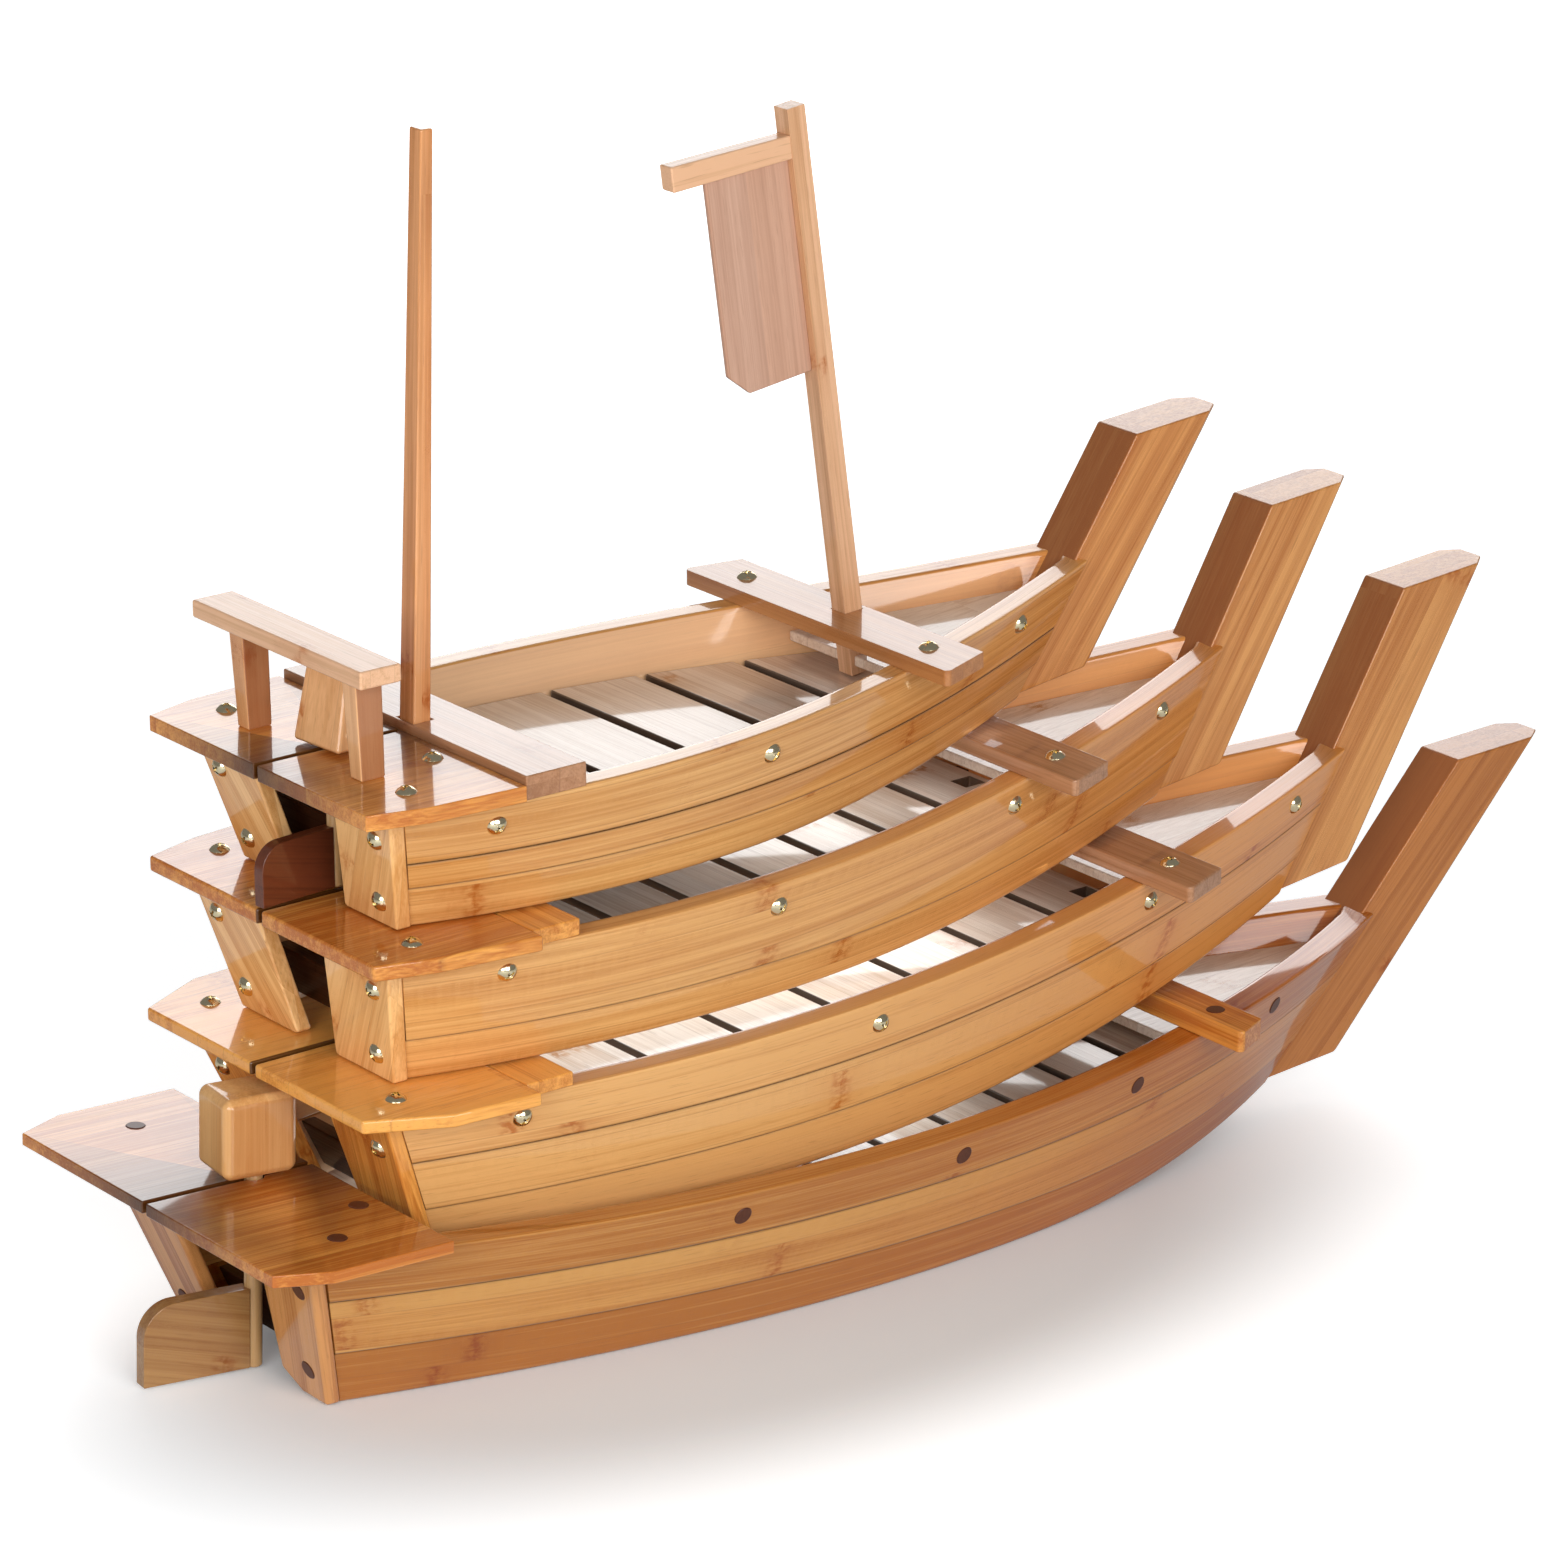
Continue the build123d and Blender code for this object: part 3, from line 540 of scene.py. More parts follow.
def ring_weights(corners, eases):
    """Shares of the four corners in each point of a section."""
    lengths = [np.linalg.norm(corners[(i + 1) % 4] - corners[i]) for i in range(4)]
    rows = []
    for i, ease in enumerate(eases):
        back, ahead = (i - 1) % 4, (i + 1) % 4
        for u, v in CORNER_POINTS:
            row = np.zeros(4)
            row[back] += u * ease / lengths[back]
            row[ahead] += v * ease / lengths[i]
            row[i] += 1 - row.sum()
            rows.append(row)
    return np.array(rows)


def board_section(hull, board, t):
    """Points of a board at one station, with each point's place across and through the board."""
    top = board.top[0] + (board.top[1] - board.top[0]) * t
    low = board.low[0] + (board.low[1] - board.low[0]) * t
    inset = Vector((0, board.step, 0))
    corners = np.array([outer(hull, t, top) - inset, outer(hull, t, low) - inset,
                        inner(hull, t, low), inner(hull, t, top)])
    tall, wide = np.linalg.norm(corners[1] - corners[0]), hull.wall
    flat = np.array([(0, 0), (tall, 0), (tall, wide), (0, wide)])
    ease_top = EDGE_EASE if board.top[0] == 0 else SEAM_EASE
    ease_low = EDGE_EASE if board.low[0] == 1 else SEAM_EASE
    weights = ring_weights(corners, (ease_top, ease_low, ease_low, ease_top))
    points = weights @ corners
    if t == 1:
        inside = points[:, 1] < hull.stem_half + STEM_MARGIN
        points[inside, 0] = [stem_aft(hull, z) - STEM_CLEAR for z in points[inside, 2]]
    return points, weights @ flat


def seam_shade_and_dirt(board):
    """Painted shade, with the dark of the glue joint, on a section's points: on outer corners that face a
    seam, growing towards the ledge.
    """
    soil = np.zeros(4 * PER_CORNER)
    if board.top[0] > 0:
        soil[:PER_CORNER] = CORNER_SHADE_AND_DIRT
    if board.low[0] < 1:
        soil[PER_CORNER:2 * PER_CORNER] = CORNER_SHADE_AND_DIRT[::-1]
    return soil


# %% The side boards
CANE = 9  # metres of grain that a board's start is drawn from
SIDE_CREASE = math.radians(50)
TOP_EDGE = 3  # the section's point along which the length is measured


def side_mesh(hull, sign):
    bm = bmesh.new()
    grain, tones, shades_and_dirt = [], [], []
    for board in BANDS[hull.name]:
        run = draw.uniform(0, CANE)
        rows, last = [], None
        for i in range(STATIONS + 1):
            points, flat = board_section(hull, board, i / STATIONS)
            run += np.linalg.norm(points[TOP_EDGE] - last) * MM if i else 0.0
            last = points[TOP_EDGE]
            rows.append([bm.verts.new(in_stack(hull, Vector((x, sign * y, z)))) for x, y, z in points])
            grain += [(run, a * MM, b * MM) for a, b in flat]
            tones += [board.tone] * len(points)
            shades_and_dirt += list(seam_shade_and_dirt(board))
        for one, two in zip(rows, rows[1:]):
            for j in range(len(one)):
                bm.faces.new((one[j], one[j - 1], two[j - 1], two[j]))
        bm.faces.new(rows[0])
        bm.faces.new(list(reversed(rows[-1])))
    bmesh.ops.recalc_face_normals(bm, faces=bm.faces)
    mesh = to_mesh(f"{hull.name} side", bm)
    mesh.set_sharp_from_angle(angle=SIDE_CREASE)
    set_attributes(mesh, grain, tones, shades_and_dirt)
    return mesh


for hull in HULLS:
    for sign, side in ((1, "port_side"), (-1, "starboard_side")):
        node = f"{hull.name}_{side}"
        wood = HONEY_PORT_LIT_INSIDE if slot_of[node] == "honey_bamboo" and sign > 0 else FINISH[slot_of[node]]
        add_piece(node + "_boards", side_mesh(hull, sign), wood, node)
print("8 sides of", sum(len(b) for b in BANDS.values()) * 2, "boards")

# %% [markdown]
# ## Flat boards
# Decks, beams, posts, stems, masts and the like have the right shape in the CAD model already, but sharp
# edges. A copy of each node is merged, its flat faces are joined and its edges are rounded. Normals weighted
# by face area keep the flats flat and let the rounding catch the light. Each loose board in a node gets a
# grain along its own longest direction, or along the way that the real board was cut. Painted shade darkens
# the edges of the slot between the deck boards.

# %% Round a node's boards
BEVEL_FROM = math.radians(25)
FLAT_WITHIN = math.radians(0.8)
SAME_POINT = 2e-6
GRAIN_SHIFT = (-0.01, 0.01)
BOARD_TONES = (0.1, 0.7)
LEVEL = 0.99  # height of the normal of a face that lies level


def islands(bm):
    """The loose boards of a mesh and their points, in a steady order."""
    left, groups = set(bm.verts), []
    while left:
        group, todo = [], [left.pop()]
        while todo:
            vert = todo.pop()
            group.append(vert)
            for edge in vert.link_edges:
                other = edge.other_vert(vert)
                if other in left:
                    left.remove(other)
                    todo.append(other)
        groups.append(sorted(group, key=lambda v: v.index))

    def middle(group):
        return tuple(round(sum(v.co[i] for v in group) / len(group), 4) for i in range(3))

    return sorted(groups, key=middle)


def board_axes(points, along):
    """Length, breadth and thickness directions of a board."""
    if along is None:
        along = np.linalg.svd(points - points.mean(0), full_matrices=False)[2][0]
    along = np.asarray(along, float) / np.linalg.norm(along)
    side = np.cross((0, 0, 1), along)
    side = np.array((0, 1.0, 0)) if np.linalg.norm(side) < 0.3 else side / np.linalg.norm(side)
    return np.array((along, side, np.cross(along, side)))


def weighted_normals(mesh):
    """Vertex normals in which big faces outweigh the small ones of a rounded edge."""
    normals = np.zeros((len(mesh.vertices), 3))
    for face in mesh.polygons:
        normals[list(face.vertices)] += np.array(face.normal) * face.area
    normals /= np.maximum(np.linalg.norm(normals, axis=1, keepdims=True), 1e-12)
    mesh.normals_split_custom_set_from_vertices(normals)


def rounded_boards(name, bm, ease, along=None, tone=None, slot_half=0.0, shaded_gap_edges=False):
    """A mesh of boards with eased edges and the attributes of bamboo. The ease is in metres."""
    bm.normal_update()
    sharp = [e for e in bm.edges if len(e.link_faces) == 2 and e.calc_face_angle(0) > BEVEL_FROM]
    bmesh.ops.bevel(bm, geom=sharp, offset=ease, segments=3, profile=0.5, affect="EDGES", clamp_overlap=True)
    bm.verts.index_update()
    grain, tones = np.zeros((len(bm.verts), 3)), np.zeros(len(bm.verts))
    for group in islands(bm):
        points = np.array([v.co for v in group])
        places = (points - points.mean(0)) @ board_axes(points, along).T
        spot = (draw.uniform(0, CANE), draw.uniform(*GRAIN_SHIFT), draw.uniform(*GRAIN_SHIFT))
        shade = draw.uniform(*BOARD_TONES) if tone is None else tone
        for v, place in zip(group, places):
            grain[v.index], tones[v.index] = place + spot, shade
    bm.normal_update()
    # painted shade: on slat points off the top face, and on points in a deck's slot
    soil = []
    for v in bm.verts:
        edge = shaded_gap_edges and all(f.normal.z < LEVEL for f in v.link_faces)
        soil.append(1.0 if edge or abs(v.co.y) < slot_half else 0.0)
    mesh = to_mesh(name, bm)
    weighted_normals(mesh)
    set_attributes(mesh, grain, tones, soil)
    return mesh


def merged_copy(node):
    bm = bmesh.new()
    bm.from_mesh(nodes[node].data)
    bmesh.ops.remove_doubles(bm, verts=bm.verts, dist=SAME_POINT)
    bmesh.ops.dissolve_limit(bm, angle_limit=FLAT_WITHIN, verts=bm.verts, edges=bm.edges)
    return bm


# %% The flat boards
BOARD_EASE = 0.0009
EASES = {"stern_posts": 0.0022, "rudder_head": 0.0020, "deck_boards": 0.0013, "stem_post": 0.0011}
ALONG = {"deck_boards": (1, 0, 0), "bow_deck": (1, 0, 0), "rudder_head": (0, 0, 1),
         "sail_board": (-0.17, 0, 0.98)}
WOODS = {"bottom_boat_stem_post": BROWN_STEM, "stem_post": HONEY_STEM, "bottom_boat_stern_posts": BROWN_POST,
         "lower_boat_stern_posts": AMBER, "stern_posts": HONEY_POST, "bottom_boat_rudder_head": BROWN_HEAD,
         "bottom_boat_rudder_blade": KHAKI, "rail_legs": TAN_LEG, "sail_board": VENEER,
         "top_boat_rudder_head": HONEY_HEAD, "top_boat_rudder_blade": DARK_RED, "rudder_post": DOWEL,
         "rear_mast": TAN_MAST, "stern_crosspiece": SHADED, "floor_bearers": SHADED,
         "top_boat_bow_beam": HONEY_BEAM}
TONES = {"yard": 0.0, "sail_board": 0.5, "rear_mast": 0.5, "sail_mast": 0.35, "rail_bar": 0.1,
         "bottom_boat_deck_boards": 0.9, "lower_boat_deck_boards": -0.1, "upper_boat_deck_boards": 0.75,
         "top_boat_deck_boards": 0.7, "bottom_boat_bow_beam": 1.0, "lower_boat_stern_posts": 0.35}
# painted shade in the slot between the deck boards, on points this near the middle plane
SLOT_SHADE = {"deck_boards": 0.0022}  # metres from the middle plane


def chosen(table, node, default):
    """The first entry of a table whose key ends the node's name."""
    return next((value for end, value in table.items() if node.endswith(end)), default)


made = []
for node in sorted(nodes):
    if node.endswith(("_side", "_screws", "_plugs", "_floor_slats")):
        continue
    wood = chosen(WOODS, node, FINISH[slot_of[node]])
    mesh = rounded_boards(node, merged_copy(node), chosen(EASES, node, BOARD_EASE),
                          chosen(ALONG, node, None), chosen(TONES, node, None),
                          chosen(SLOT_SHADE, node, 0.0))
    made.append(add_piece(node + "_wood", mesh, wood, node))
print(len(made), "pieces of flat boards")

# %% [markdown]
# ## Floor slats
# The floor of each boat is a row of slats with open gaps, and two of them have a square hole for a mast. The
# outline of each slat is known from the imported node, so a small Geometry Nodes tree only has to give the
# outlines their thickness. An outline with a hole comes in several faces, which the tree merges first. The
# result becomes a plain mesh, eased like the other boards. Its edges get painted shade, so that the gaps
# look dark.

# %% Helpers for geometry trees
def input_socket(tree, name, kind, value=None):
    made = tree.interface.new_socket(name=name, in_out="INPUT", socket_type=kind)
    if value is not None:
        made.default_value = value
    return made.identifier


def close_tree(tree, shape, material):
    """End a tree with real geometry of one material."""
    tree.interface.new_socket(name="Result", in_out="OUTPUT", socket_type="NodeSocketGeometry")
    real = put(tree, "GeometryNodeRealizeInstances", {"Geometry": shape.outputs[0]})
    done = put(tree, "GeometryNodeSetMaterial", {"Geometry": real.outputs[0], "Material": material})
    tree.links.new(done.outputs[0], tree.nodes.new("NodeGroupOutput").inputs[0])


def grown(tree, keys, seed_mesh, **values):
    """Run a tree on a mesh and give its result as a plain mesh."""
    holder = bpy.data.objects.new("seed", seed_mesh)
    bpy.context.scene.collection.objects.link(holder)
    modifier = holder.modifiers.new("grow", "NODES")
    modifier.node_group = tree
    for key, value in values.items():
        modifier[keys[key]] = value
    bpy.context.view_layer.update()
    shown = holder.evaluated_get(bpy.context.evaluated_depsgraph_get())
    result = bpy.data.meshes.new_from_object(shown)
    holder.modifiers.remove(modifier)
    bpy.data.objects.remove(holder)
    return result


# %% A tree that thickens outlines
SLAT_THICK = 0.006
SLAT_EASE = 0.0008
TOUCHING = 1e-6


def slat_tree():
    tree = bpy.data.node_groups.new("floor slats", "GeometryNodeTree")
    keys = {"outlines": input_socket(tree, "Outlines", "NodeSocketGeometry"),
            "thickness": input_socket(tree, "Thickness", "NodeSocketFloat", SLAT_THICK),
            "wood": input_socket(tree, "Wood", "NodeSocketMaterial")}
    start = tree.nodes.new("NodeGroupInput").outputs
    down = put(tree, "ShaderNodeCombineXYZ", {2: calc(tree, "MULTIPLY", start["Thickness"], -1.0)})
    plates = put(tree, "GeometryNodeMergeByDistance", {"Geometry": start["Outlines"], "Distance": TOUCHING})
    offset = {"Offset": down.outputs[0], "Offset Scale": 1.0, "Individual": False}
    deep = put(tree, "GeometryNodeExtrudeMesh", {"Mesh": plates.outputs[0], **offset}, mode="FACES")
    both = put(tree, "GeometryNodeJoinGeometry")
    tree.links.new(plates.outputs[0], both.inputs[0])
    tree.links.new(deep.outputs["Mesh"], both.inputs[0])
    whole = put(tree, "GeometryNodeMergeByDistance", {"Geometry": both.outputs[0], "Distance": TOUCHING})
    close_tree(tree, whole, start["Wood"])
    return tree, keys


# %% Slats of each boat
SLATS, SLAT_KEYS = slat_tree()
UPWARD = 0.9  # height of the normal of a slat's top face


def slat_outlines(node):
    """Top faces of the slats of a node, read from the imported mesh."""
    bm = merged_copy(node)
    bm.normal_update()
    corners, faces = [], []
    for face in bm.faces:
        if face.normal.z > UPWARD:
            faces.append(range(len(corners), len(corners) + len(face.verts)))
            corners += [tuple(v.co) for v in face.verts]
    bm.free()
    mesh = bpy.data.meshes.new("outlines")
    mesh.from_pydata(corners, [], faces)
    return mesh


for hull in HULLS:
    node = f"{hull.name}_floor_slats"
    slab = grown(SLATS, SLAT_KEYS, slat_outlines(node), thickness=SLAT_THICK, wood=PALE)
    bm = bmesh.new()
    bm.from_mesh(slab)
    bmesh.ops.recalc_face_normals(bm, faces=bm.faces)
    # the slats' edges get painted shade, so the gaps look dark
    mesh = rounded_boards(node, bm, SLAT_EASE, (0, 1, 0), shaded_gap_edges=True)
    add_piece(node + "_wood", mesh, PALE, node)
    print(node, len(mesh.vertices), "points")

# %% [markdown]
# ## Screws and plugs
# Brass screws with a domed head and a cross recess hold the three upper boats together, and dark wooden
# plugs the bottom one. They repeat many times, so one tree makes a head and sets it on every point, turned
# to the face that it sits in and spun at random with a fixed seed.

# %% Where the heads sit
STUD_DROP = 13.0  # millimetres below the gunwale
POST_THICK = 8.0
POST_INSET = 12  # from the outer edge of a stern post
POST_SHARES = (0.25, 0.8)  # of the way down it
BEAM_INSET = 31  # from the end of the bow beam
BOARD_GAP = 0.12  # between the beam and the gunwale


def side_heads(hull):
    for t in hull.studs:
        down = foot(hull, t) - gunwale(hull, t)
        share = STUD_DROP / down.length
        along = outer(hull, t + NUDGE, share) - outer(hull, t - NUDGE, share)
        yield outer(hull, t, share), along.cross(down).normalized()


def post_heads(hull):
    top, low = gunwale(hull, 0), foot(hull, 0)
    out = Vector((-1, 0, (top.x - low.x) / (top.z - low.z))).normalized()
    for share in POST_SHARES:
        yield top.lerp(low, share) - Vector((POST_THICK, POST_INSET, 0)), out


def deck_heads(hull):
    return [(Vector((x, y, 0)), Vector((0, 0, 1))) for x, y in hull.deck_studs]


def beam_heads(hull):
    aft, half, wide, thick = hull.beam
    start, end = gunwale(hull, 0).x, gunwale(hull, 1).x
    back, front = [gunwale(hull, (x - start) / (end - start)).z for x in (aft, aft + wide)]
    spot = Vector((aft + wide / 2, half - BEAM_INSET, (back + front) / 2 + thick + BOARD_GAP))
    yield spot, Vector(((back - front) / wide, 0, 1)).normalized()


def head_places(hull):
    """Place and facing of each head, port and starboard in turn."""
    for rule in (side_heads, post_heads, deck_heads, beam_heads):
        for p, n in rule(hull):
            for s in (1, -1):
                yield Vector((p.x, s * p.y, p.z)), Vector((n.x, s * n.y, n.z))


def turned(hull, d):
    """A direction of the hull's own frame, in the frame of the stack."""
    return Matrix.Rotation(-math.radians(hull.pitch), 3, "Y") @ d


def head_points(hull):
    places = list(head_places(hull))
    mesh = bpy.data.meshes.new("head places")
    mesh.from_pydata([in_stack(hull, p) for p, _ in places], [], [])
    facing = mesh.attributes.new("facing", "FLOAT_VECTOR", "POINT")
    for i, (_, n) in enumerate(places):
        facing.data[i].vector = turned(hull, n)
    return mesh


# %% A tree that sets heads
SPIN_SEED = 3
MOST_SPIN = 3.0  # radians


def head_tree(name, build, radius, rise):
    tree = bpy.data.node_groups.new(name, "GeometryNodeTree")
    keys = {"places": input_socket(tree, "Places", "NodeSocketGeometry"),
            "radius": input_socket(tree, "Radius", "NodeSocketFloat", radius),
            "rise": input_socket(tree, "Rise", "NodeSocketFloat", rise),
            "seed": input_socket(tree, "Seed", "NodeSocketInt", SPIN_SEED),
            "finish": input_socket(tree, "Finish", "NodeSocketMaterial")}
    start = tree.nodes.new("NodeGroupInput").outputs
    head = build(tree, start)
    facing = put(tree, "GeometryNodeInputNamedAttribute", {"Name": "facing"}, data_type="FLOAT_VECTOR")
    turn = put(tree, "FunctionNodeAlignRotationToVector", {"Vector": facing.outputs[0]}, axis="Z")
    spin = put(tree, "FunctionNodeRandomValue", {"Max": MOST_SPIN, "Seed": start["Seed"]}, data_type="FLOAT")
    about = put(tree, "FunctionNodeAxisAngleToRotation", {"Axis": (0, 0, 1), "Angle": spin.outputs[1]})
    whole = put(tree, "FunctionNodeRotateRotation", {0: turn.outputs[0], 1: about.outputs[0]},
                rotation_space="LOCAL")
    inputs = {"Points": start["Places"], "Instance": head, "Rotation": whole.outputs[0]}
    set_on = put(tree, "GeometryNodeInstanceOnPoints", inputs)
    close_tree(tree, set_on, start["Finish"])
    return tree, keys


# %% [markdown]
# ## Shapes of the heads
# A screw's head is a cap cut off a ball, whose size follows from the cap's radius and rise. Two crossed
# bars are taken out of its top. A plug is sanded almost flush: a short cylinder with a low bevelled crown.

# %% Heads of each boat
SCREW_RADIUS, SCREW_RISE = 0.0048, 0.0029
PLUG_RADIUS, PLUG_RISE = 0.0046, 0.0004
PLUG_DEPTH = 0.002
PLUG_SIDES = 28
CROWN_SHARE = 0.9  # radius of a plug's flat top
CROSS_LONG, CROSS_WIDE, CROSS_DEEP = 0.0048, 0.0011, 0.003
CROSS_LIFT = 0.0001  # middle of the bars above the top of the cap
BLOCK_SIZE = (0.06, 0.06, 0.04)
BLOCK_PLACE = (0, 0, -0.0205)  # what is left of the ball sinks half a millimetre into the wood
HEAD_CREASE = math.radians(32)


def moved(tree, shape, place):
    made = put(tree, "GeometryNodeTransform", {"Geometry": shape.outputs[0], "Translation": place})
    return made.outputs[0]


def upward_by(tree, height):
    return put(tree, "ShaderNodeCombineXYZ", {2: height}).outputs[0]


def dome_with_cross(tree, start):
    square = [calc(tree, "MULTIPLY", start[name], start[name]) for name in ("Radius", "Rise")]
    ball = calc(tree, "DIVIDE", calc(tree, "ADD", *square), calc(tree, "MULTIPLY", start["Rise"], 2.0))
    sphere = put(tree, "GeometryNodeMeshUVSphere", {"Segments": 32, "Rings": 24, "Radius": ball})
    head = moved(tree, sphere, upward_by(tree, calc(tree, "SUBTRACT", start["Rise"], ball)))
    block = put(tree, "GeometryNodeMeshCube", {"Size": BLOCK_SIZE})
    cutters = [moved(tree, block, BLOCK_PLACE)]
    for size in ((CROSS_LONG, CROSS_WIDE, CROSS_DEEP), (CROSS_WIDE, CROSS_LONG, CROSS_DEEP)):
        bar = put(tree, "GeometryNodeMeshCube", {"Size": size})
        cutters.append(moved(tree, bar, upward_by(tree, calc(tree, "ADD", start["Rise"], CROSS_LIFT))))
    for cutter in cutters:
        head = put(tree, "GeometryNodeMeshBoolean", {0: head, 1: cutter}, operation="DIFFERENCE").outputs[0]
    return head


def low_disc(tree, start):
    sides, radius = {"Vertices": PLUG_SIDES}, start["Radius"]
    body = put(tree, "GeometryNodeMeshCylinder", {**sides, "Radius": radius, "Depth": PLUG_DEPTH})
    top = calc(tree, "MULTIPLY", radius, CROWN_SHARE)
    taper = {**sides, "Radius Top": top, "Radius Bottom": radius, "Depth": start["Rise"]}
    crown = put(tree, "GeometryNodeMeshCone", taper)
    low = moved(tree, body, (0, 0, -PLUG_DEPTH / 2))
    whole = put(tree, "GeometryNodeMeshBoolean", {0: low, 1: crown.outputs[0]}, operation="UNION")
    return whole.outputs[0]


SCREWS = head_tree("brass screws", dome_with_cross, SCREW_RADIUS, SCREW_RISE)
PLUGS = head_tree("wooden plugs", low_disc, PLUG_RADIUS, PLUG_RISE)
for hull in HULLS:
    if hull is BOTTOM:
        node, finish, kind, radius, rise = f"{hull.name}_plugs", PLUG, PLUGS, PLUG_RADIUS, PLUG_RISE
    else:
        node, finish, kind, radius, rise = f"{hull.name}_screws", BRASS, SCREWS, SCREW_RADIUS, SCREW_RISE
    mesh = grown(*kind, head_points(hull), radius=radius, rise=rise, seed=SPIN_SEED, finish=finish)
    mesh.shade_smooth()
    mesh.set_sharp_from_angle(angle=HEAD_CREASE)
    add_piece(node + "_heads", mesh, finish, node)
    print(node, len(mesh.polygons), "faces")

# %% [markdown]
# ## Floor
# The boats stand on a plain floor that runs into a white background, as on a studio table. A white floor
# under soft light still comes out grey, so the camera sees it with a glow of its own: faint in an ellipse
# around the shadow, full outside it, and stronger towards the horizon, where the lamps no longer reach. The
# world is white to the camera too.

# %% Floor and surround
FLOOR_HALF = 12
FLOOR_DROP = -0.0004  # just under the boats' feet
FLOOR_COLOURS = ((0.82, 0.845, 0.86, 1), (0.84, 0.865, 0.88, 1))
FLOOR_GLOW = 0.06  # around the shadow
FAR_GLOW = 0.54  # added to that outside it
FAR_FROM = (0.60, 1.20)  # in half sizes of the shadow from its middle
HORIZON_GLOW = 0.40  # added again towards the horizon
HORIZON_FROM = (4.5, 15.5)
SHADOW_MIDDLE = (-0.105, -0.043, 0.0)
SHADOW_HALF = (0.374, 0.187, 1.0)
SHADOW_TURN = math.radians(6)
SURROUND = 0.20  # strength of the world as a light
WHITE = (1, 1, 1, 1)


def white_floor():
    made, tree, shader = new_finish("white floor")
    place = put(tree, "ShaderNodeTexCoord").outputs["Object"]
    cloud = put(tree, "ShaderNodeTexNoise", {"Vector": place, "Scale": 3.0}).outputs[0]
    tree.links.new(blend_colour(tree, cloud, *FLOOR_COLOURS), shader.inputs["Base Color"])
    shader.inputs["Roughness"].default_value = 0.9
    shader.inputs["Specular IOR Level"].default_value = 0.1
    shader.inputs["Emission Color"].default_value = WHITE
    ellipse = {"Location": SHADOW_MIDDLE, "Scale": SHADOW_HALF, "Rotation": (0, 0, SHADOW_TURN)}
    share = put(tree, "ShaderNodeMapping", {"Vector": place, **ellipse}, vector_type="TEXTURE")
    reach = put(tree, "ShaderNodeVectorMath", {0: share.outputs[0]}, operation="LENGTH").outputs["Value"]
    glow = ramp(tree, reach, *FAR_FROM, FLOOR_GLOW, FLOOR_GLOW + FAR_GLOW)
    glow = calc(tree, "ADD", glow, ramp(tree, reach, *HORIZON_FROM, 0.0, HORIZON_GLOW))
    seen = put(tree, "ShaderNodeLightPath").outputs["Is Camera Ray"]
    tree.links.new(calc(tree, "MULTIPLY", seen, glow), shader.inputs["Emission Strength"])
    return made


ground = bpy.data.meshes.new("floor")
around = [(x * FLOOR_HALF, y * FLOOR_HALF, 0) for x, y in ((-1, -1), (1, -1), (1, 1), (-1, 1))]
ground.from_pydata(around, [], [(0, 1, 2, 3)])
ground.materials.append(white_floor())
floor = bpy.data.objects.new("floor", ground)
floor.location.z = FLOOR_DROP
bpy.context.scene.collection.objects.link(floor)

world = bpy.data.worlds.new("pale surround")
bpy.context.scene.world = world
world.use_nodes = True
sky_tree = world.node_tree
sky = sky_tree.nodes["Background"]
sky.inputs["Color"].default_value = WHITE
seen = put(sky_tree, "ShaderNodeLightPath").outputs["Is Camera Ray"]
strength = calc(sky_tree, "MULTIPLY_ADD", seen, 1.0 - SURROUND, SURROUND)
sky_tree.links.new(strength, sky.inputs["Strength"])
print("floor and surround")

# %% [markdown]
# ## Light
# Glossy decks and slats mirror whatever is behind the boats, so a big soft light there makes them white
# towards the camera, and the floor gives back much of its light to the hulls. A softer light in front fills
# in, and a close one at the stern leaves the stems darker. In the real stack, light from between the boats
# makes the covered floors bright. Three weak lamps inside the hollow boats stand in for that.

# %% Lights
def soft_light(name, place, target, wide, tall, power):
    lamp = bpy.data.lights.new(name, "AREA")
    lamp.shape = "RECTANGLE"
    lamp.size = wide
    lamp.size_y = tall
    lamp.energy = power
    made = bpy.data.objects.new(name, lamp)
    made.location = place
    made.rotation_euler = (Vector(target) - Vector(place)).to_track_quat("-Z", "Y").to_euler()
    made.visible_camera = False
    bpy.context.scene.collection.objects.link(made)
    return made


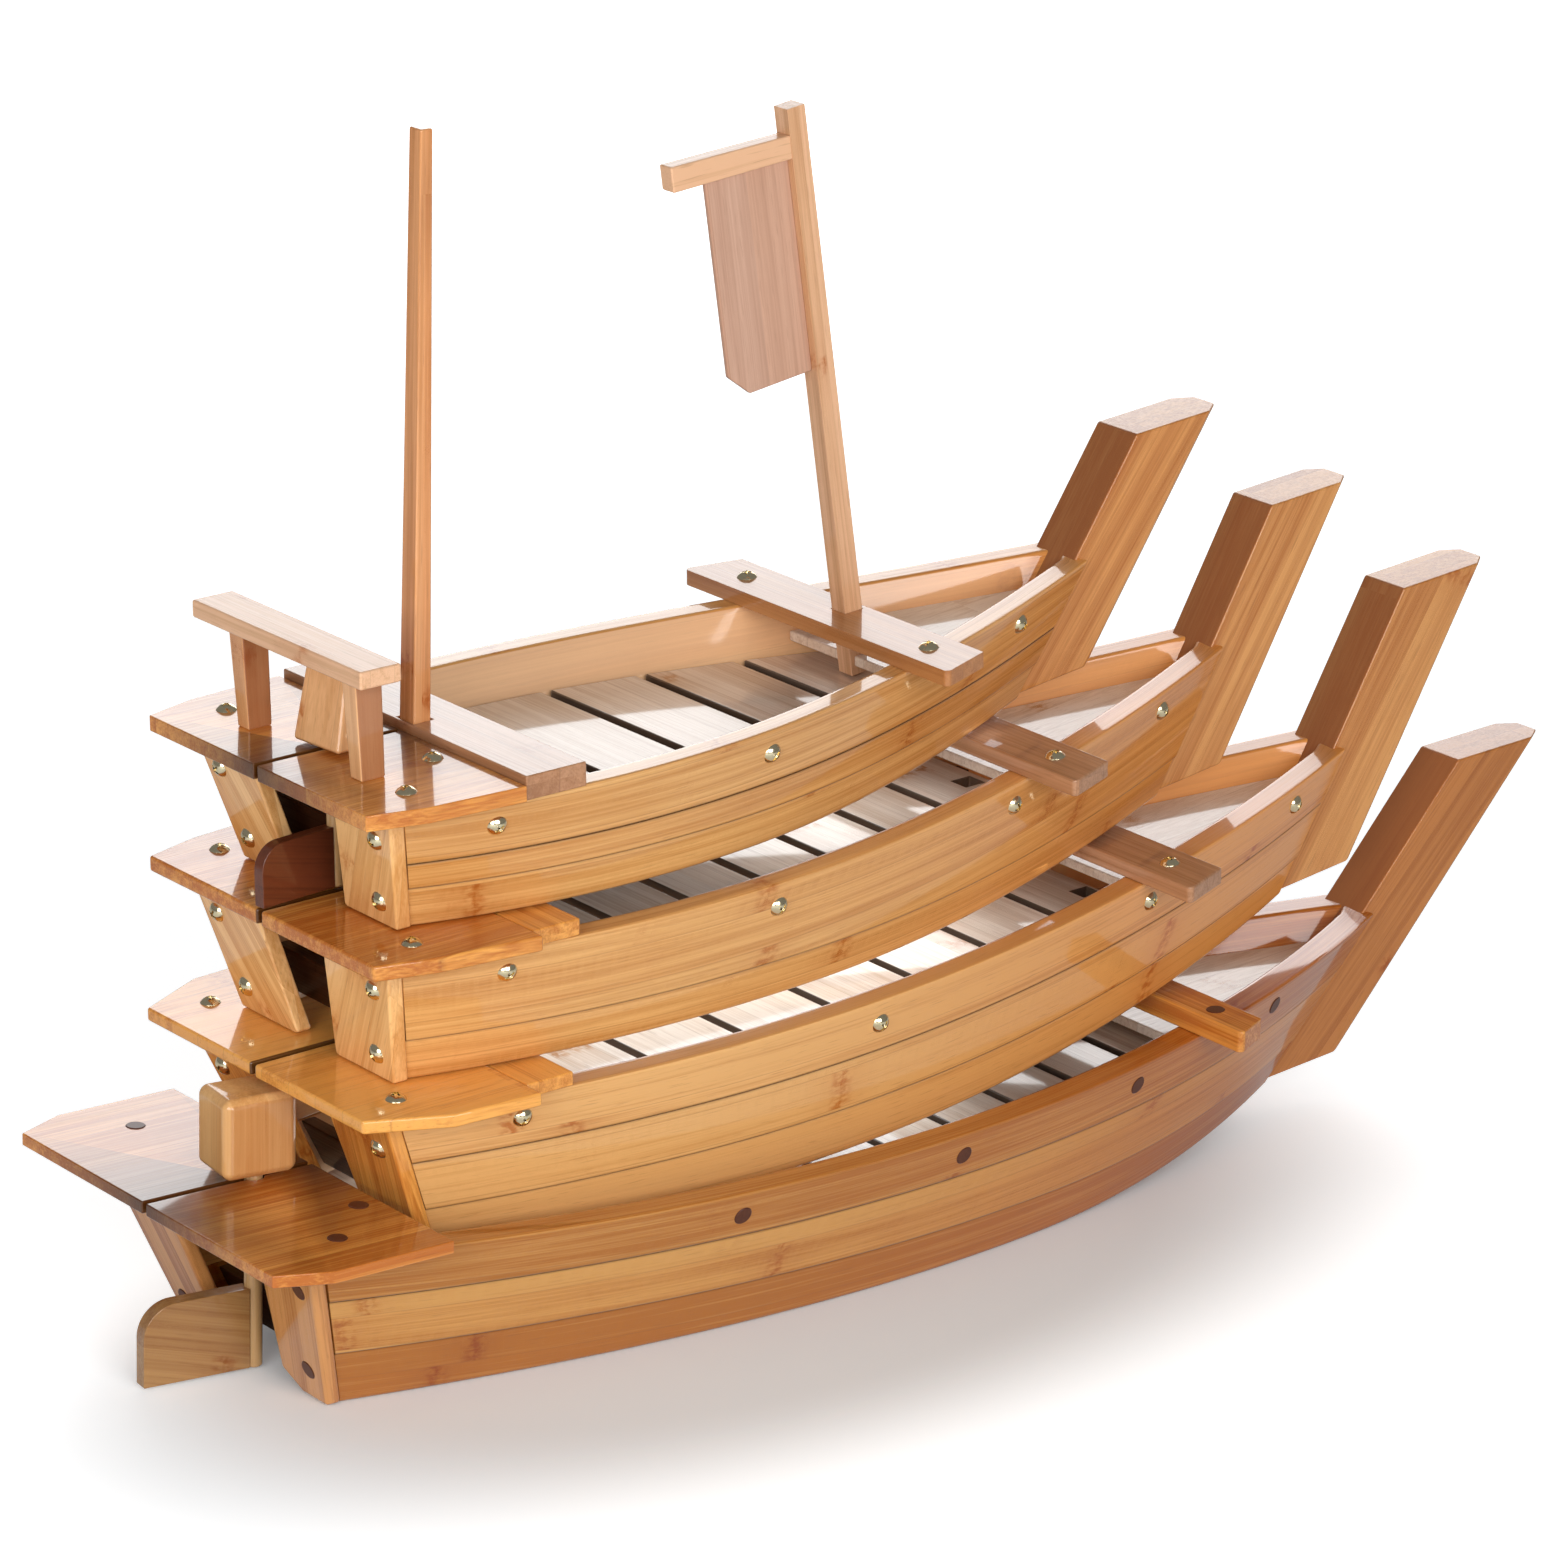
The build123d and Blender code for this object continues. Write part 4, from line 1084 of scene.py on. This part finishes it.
STACK_MIDDLE = (0.0, 0.0, 0.25)
UNDER_COLOUR = (0.78, 0.90, 1.0)
UNDER_LIFT = 12.0  # millimetres above the boat's lowest edge
UNDER_LAMPS = ((TOP, 260.0, 390.0, 35.0, 0.04), (UPPER, 90.0, 410.0, 50.0, 0.20),
               (LOWER, 90.0, 365.0, 50.0, 0.17))
soft_light("back softbox", (1.83, 2.33, 1.4), STACK_MIDDLE, 2.6, 1.9, 42)
soft_light("front fill", (-0.8, -2.4, 1.1), STACK_MIDDLE, 1.8, 1.2, 40)
soft_light("stern softbox", (-1.7, -0.9, 0.7), (-0.3, 0.0, 0.2), 0.9, 0.9, 14)


def under_light(hull, aft, fore, half, power):
    """Light for the slats of the boat below, from inside this boat's hollow underside."""
    place = in_stack(hull, Vector(((aft + fore) / 2, 0, UNDER_LIFT - hull.depth)))
    wide, tall = (fore - aft) * MM, 2 * half * MM
    lamp = soft_light(f"under {hull.name}", place, STACK_MIDDLE, wide, tall, power)
    lamp.rotation_euler = (0, -math.radians(hull.pitch), 0)
    lamp.data.color = UNDER_COLOUR


for row in UNDER_LAMPS:
    under_light(*row)
print("six soft lights")

# %% [markdown]
# ## Camera
# The camera's place, direction, tilt and lens were worked out from the corners and fasteners of the four
# decks in the photograph, so the render can be laid over it.

# %% Camera
EYE = (-1.83368, -2.24751, 1.14901)
AZIMUTH = math.radians(38.200)
ELEVATION = math.radians(17.941)
ROLL = math.radians(1.611)
LENS, SENSOR = 150.20, 36.0  # millimetres
CLIP = (0.1, 60.0)
flat_look = Vector((math.sin(AZIMUTH), math.cos(AZIMUTH), 0))
look = flat_look * math.cos(ELEVATION) - Vector((0, 0, math.sin(ELEVATION)))
level = Vector((math.cos(AZIMUTH), -math.sin(AZIMUTH), 0))
upward = level.cross(look)
right = level * math.cos(ROLL) + upward * math.sin(ROLL)
lens = bpy.data.cameras.new("photo camera")
lens.lens = LENS
lens.sensor_width = SENSOR
lens.clip_start, lens.clip_end = CLIP
camera = bpy.data.objects.new("photo camera", lens)
camera.matrix_world = Matrix((right, right.cross(look), -look)).transposed().to_4x4()
camera.location = EYE
bpy.context.scene.collection.objects.link(camera)
bpy.context.scene.camera = camera
bpy.context.scene.view_settings.view_transform = "Standard"
print("camera", [round(v, 3) for v in camera.location])
